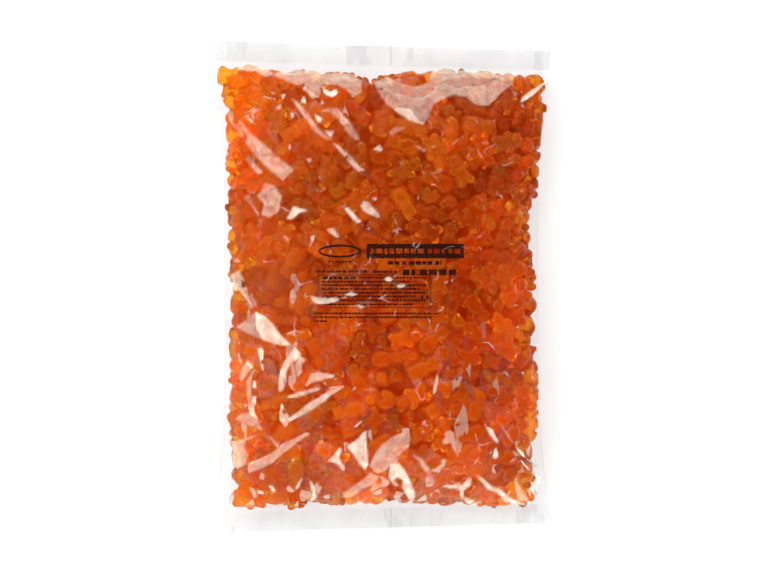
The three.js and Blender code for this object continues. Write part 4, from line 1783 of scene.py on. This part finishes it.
@dataclass
class Print:
    """Plain dark print inside the upper film: a slotted bar, an oval ring, a frame and rows of dashes."""

    film: BVHTree
    scale: float = 0.973
    cell: float = 1.0
    inside: float = 0.05
    seed: int = 3
    bar: tuple[float, float, float, float] = (-10.5, 20.0, 57.5, 30.0)
    slots: Row = Row(-7.5, 55.0, 25.0, 3.4, 5.5)
    frame: tuple[float, float, float, float] = (-44.5, -14.6, 34.5, 8.6)
    frame_line: float = 0.45
    oval: tuple[float, float, float, float] = (-29.0, 25.0, 15.0, 4.6)
    oval_line: float = 1.5
    oval_steps: int = 73
    dash_least: float = 0.35
    narrow_gap: float = 0.35
    wide_gap: float = 0.8
    narrow_share: float = 0.7
    above: float = 150.0
    rows: tuple[Row, ...] = (
        Row(-37.0, -21.0, 17.6, 1.3, 2.6),
        Row(4.5, 42.0, 16.8, 2.5, 4.2),
        Row(15.0, 52.0, 10.2, 3.9, 6.0),
        Row(-45.0, -10.0, 10.8, 1.4, 3.0),
        Row(-6.0, 11.0, 10.6, 1.4, 3.0),
        Row(-41.0, -18.0, 6.4, 2.0, 4.0),
        Row(-15.5, 31.0, 6.5, 1.2, 2.6),
        Row(-41.5, 20.0, 3.7, 1.2, 2.6),
        Row(-41.5, 32.0, 1.2, 1.2, 2.6),
        Row(-41.5, 27.0, -1.4, 1.2, 2.6),
        Row(-41.5, 31.5, -4.0, 1.2, 2.6),
        Row(-41.5, 24.0, -6.6, 1.2, 2.6),
        Row(27.5, 33.0, -7.2, 2.6, 3.2),
        Row(-41.5, 31.0, -9.3, 1.2, 2.6),
        Row(-41.5, 22.0, -12.2, 1.2, 2.6),
        Row(-47.0, 40.0, -18.4, 1.2, 2.8),
        Row(-47.0, 35.0, -21.1, 1.2, 2.8),
        Row(-47.0, -38.0, -23.8, 1.2, 2.8),
    )

    def build(self) -> bpy.types.Object:
        """Returns the piece."""
        draw = np.random.default_rng(self.seed)
        patches = [self._oval()]
        patches += [self._box(*box) for box in self._barred(draw)]
        x0, y0, x1, y1 = self.frame
        thin = self.frame_line
        upright = ((x0, y0, x0 + thin, y1), (x1 - thin, y0, x1, y1))
        level = ((x0, y0, x1, y0 + thin), (x0, y1 - thin, x1, y1))
        patches += [self._box(*side) for side in upright + level]
        for row in self.rows:
            patches += [self._box(*dash) for dash in self._dashes(row, draw)]
        points, faces, used = [], [], 0
        for grid in patches:
            numbers = np.arange(grid.shape[0] * grid.shape[1]).reshape(grid.shape[:2]) + used
            corners = (numbers[:-1, :-1], numbers[1:, :-1], numbers[1:, 1:], numbers[:-1, 1:])
            faces.append(np.stack(corners, -1).reshape(-1, 4))
            points.append(grid.reshape(-1, 2))
            used += numbers.size
        laid = self._laid(np.vstack(points) * self.scale)
        return new_piece("print_marks", laid, [np.vstack(faces)], Ink().build())

    def _laid(self, places: Array) -> Array:
        """Lays places on the inside of the film.

        Args:
            places: their X and Y.

        Returns:
            The points there.
        """
        points = []
        for x, y in places.tolist():
            hit, normal, _, _ = self.film.ray_cast((x, y, self.above), (0.0, 0.0, -1.0))
            points.append(hit - normal * self.inside)
        return np.array(points)

    def _box(self, x0: float, y0: float, x1: float, y1: float) -> Array:
        """Covers a rectangle with places.

        Args:
            x0: its left side.
            y0: its lower side.
            x1: its right side.
            y1: its upper side.

        Returns:
            The grid of places.
        """
        across = np.linspace(x0, x1, max(2, math.ceil((x1 - x0) / self.cell) + 1))
        along = np.linspace(y0, y1, max(2, math.ceil((y1 - y0) / self.cell) + 1))
        return np.stack(np.meshgrid(across, along, indexing="ij"), -1)

    def _oval(self) -> Array:
        """Returns the grid of places that covers the oval ring."""
        x, y, wide, high = self.oval
        turn = np.linspace(0, -2 * math.pi, self.oval_steps)
        reach = np.array([0.0, 0.5, 1.0])
        rim = np.stack([np.cos(turn), np.sin(turn)], -1)[:, None]
        size = np.array([wide, high]) - (1 - reach)[:, None] * self.oval_line
        return rim * size + np.array([x, y])

    def _dashes(self, row: Row, draw: np.random.Generator) -> list[tuple[float, float, float, float]]:
        """Cuts a row into dashes.

        Args:
            row: the row.
            draw: the random numbers.

        Returns:
            The dashes' rectangles.
        """
        dashes, x = [], row.start
        while x < row.end:
            end = min(row.end, x + draw.uniform(self.dash_least, 1.0) * row.longest)
            dashes.append((x, row.middle - row.high / 2, end, row.middle + row.high / 2))
            gap = self.narrow_gap if draw.random() < self.narrow_share else self.wide_gap
            x = end + row.high * gap
        return dashes

    def _barred(self, draw: np.random.Generator) -> list[tuple[float, float, float, float]]:
        """Cuts the bar up so that a row of slots stays open.

        Args:
            draw: the random numbers.

        Returns:
            The rectangles.
        """
        x0, y0, x1, y1 = self.bar
        slots = self._dashes(self.slots, draw)
        low, high = slots[0][1], slots[0][3]
        edges = [x0] + [x for slot in slots for x in (slot[0], slot[2])] + [x1]
        posts = [(start, low, end, high) for start, end in zip(edges[::2], edges[1::2])]
        return [(x0, y0, x1, low), (x0, high, x1, y1), *posts]


# ---- the studio -----------------------------------------------------------------------------------------


@dataclass(frozen=True)
class Softbox:
    """A rectangular soft light that faces the bag."""

    name: str
    azimuth: float
    from_zenith: float
    width: float
    height: float
    radiance: float
    distance: float

    def build(self) -> None:
        """Adds the light."""
        lamp = bpy.data.lights.new(self.name, "AREA")
        lamp.shape = "RECTANGLE"
        lamp.size, lamp.size_y = self.width, self.height
        lamp.energy = self.radiance * math.pi * self.width * self.height
        turn, lean = math.radians(self.azimuth), math.radians(self.from_zenith)
        aside = math.sin(lean)
        direction = Vector((aside * math.cos(turn), aside * math.sin(turn), math.cos(lean)))
        light = bpy.data.objects.new(self.name, lamp)
        light.location = direction * self.distance
        light.rotation_euler = direction.to_track_quat("Z", "Y").to_euler()
        bpy.context.scene.collection.objects.link(light)


@dataclass
class Studio:
    """The pale table, the soft lights and the camera over the bag."""

    image_width_px: float = 768.0
    mm_per_px: float = 0.697
    image_centre_px: tuple[float, float] = (384.0, 288.0)
    bag_centre_px: tuple[float, float] = (381.5, 287.0)
    camera_height: float = 1.6
    focus_height: float = 0.012
    world_radiance: float = 0.12
    table_half: float = 6.0
    table_drop: float = 0.4 * MM
    softboxes: tuple[Softbox, ...] = (
        Softbox("softbox_corner", 135, 38, 2.3, 1.5, 2.0, 1.5),
        Softbox("softbox_head", 76, 62, 1.5, 2.0, 1.7, 1.6),
        Softbox("softbox_foot", -88, 58, 2.4, 2.2, 1.5, 1.5),
        Softbox("softbox_left", 196, 58, 1.3, 1.9, 1.3, 1.5),
        Softbox("softbox_right", 0, 60, 1.6, 1.2, 0.9, 1.6),
    )

    def build(self) -> None:
        """Adds all of it."""
        self._table()
        for softbox in self.softboxes:
            softbox.build()
        world = bpy.data.worlds.new("studio")
        world.use_nodes = True
        world.node_tree.nodes["Background"].inputs["Color"].default_value = (1, 1, 1, 1)
        world.node_tree.nodes["Background"].inputs["Strength"].default_value = self.world_radiance
        bpy.context.scene.world = world
        bpy.context.scene.view_settings.view_transform = "Standard"
        self._light_paths()
        self._camera()

    @staticmethod
    def _light_paths() -> None:
        """Lets light go on through as many bears and layers of film as it takes."""
        cycles = bpy.context.scene.cycles
        cycles.max_bounces, cycles.diffuse_bounces = 10, 4
        cycles.transmission_bounces, cycles.transparent_max_bounces = 8, 32

    def _table(self) -> None:
        """Adds the table's top."""
        data = bpy.data.meshes.new("tabletop")
        half = self.table_half
        corners = [(-half, -half, 0), (half, -half, 0), (half, half, 0), (-half, half, 0)]
        data.from_pydata(corners, [], [(0, 1, 2, 3)])
        data.materials.append(Tabletop().build())
        table = bpy.data.objects.new("tabletop", data)
        table.location.z = -self.table_drop
        bpy.context.scene.collection.objects.link(table)

    def _camera(self) -> None:
        """Adds the camera, which looks straight down."""
        lens = bpy.data.cameras.new("camera")
        frame_width = self.image_width_px * self.mm_per_px * MM
        lens.lens = lens.sensor_width * (self.camera_height - self.focus_height) / frame_width
        camera = bpy.data.objects.new("camera", lens)
        right = (self.image_centre_px[0] - self.bag_centre_px[0]) * self.mm_per_px * MM
        down = (self.image_centre_px[1] - self.bag_centre_px[1]) * self.mm_per_px * MM
        camera.location = (right, -down, self.camera_height)
        bpy.context.scene.collection.objects.link(camera)
        bpy.context.scene.camera = camera


# ---- all of it ------------------------------------------------------------------------------------------


def main() -> None:
    """Builds the bears, the film, the print and the studio in order."""
    logging.basicConfig(level=logging.INFO, format="%(message)s")
    pillow = Pillow()
    pile = BearPile(pillow)
    pile.settle()
    log.info("settled %d bears", pile.count)
    pieces = Bears(pile).build()
    for piece, _, triangles in pieces:
        log.info("%s: %d triangles", piece.name, len(triangles))
    bulk = Bulk.of((points, triangles) for _, points, triangles in pieces)
    film, form = FilmBag(pillow, bulk).build()
    for piece, points, _ in pieces:
        Bears.press(piece, points, form)
    marks = Print(form).build()
    log.info("%s: %d faces", marks.name, len(marks.data.polygons))
    log.info("%s: %d faces", film.name, len(film.data.polygons))
    Studio().build()


if __name__ == "__main__":
    main()
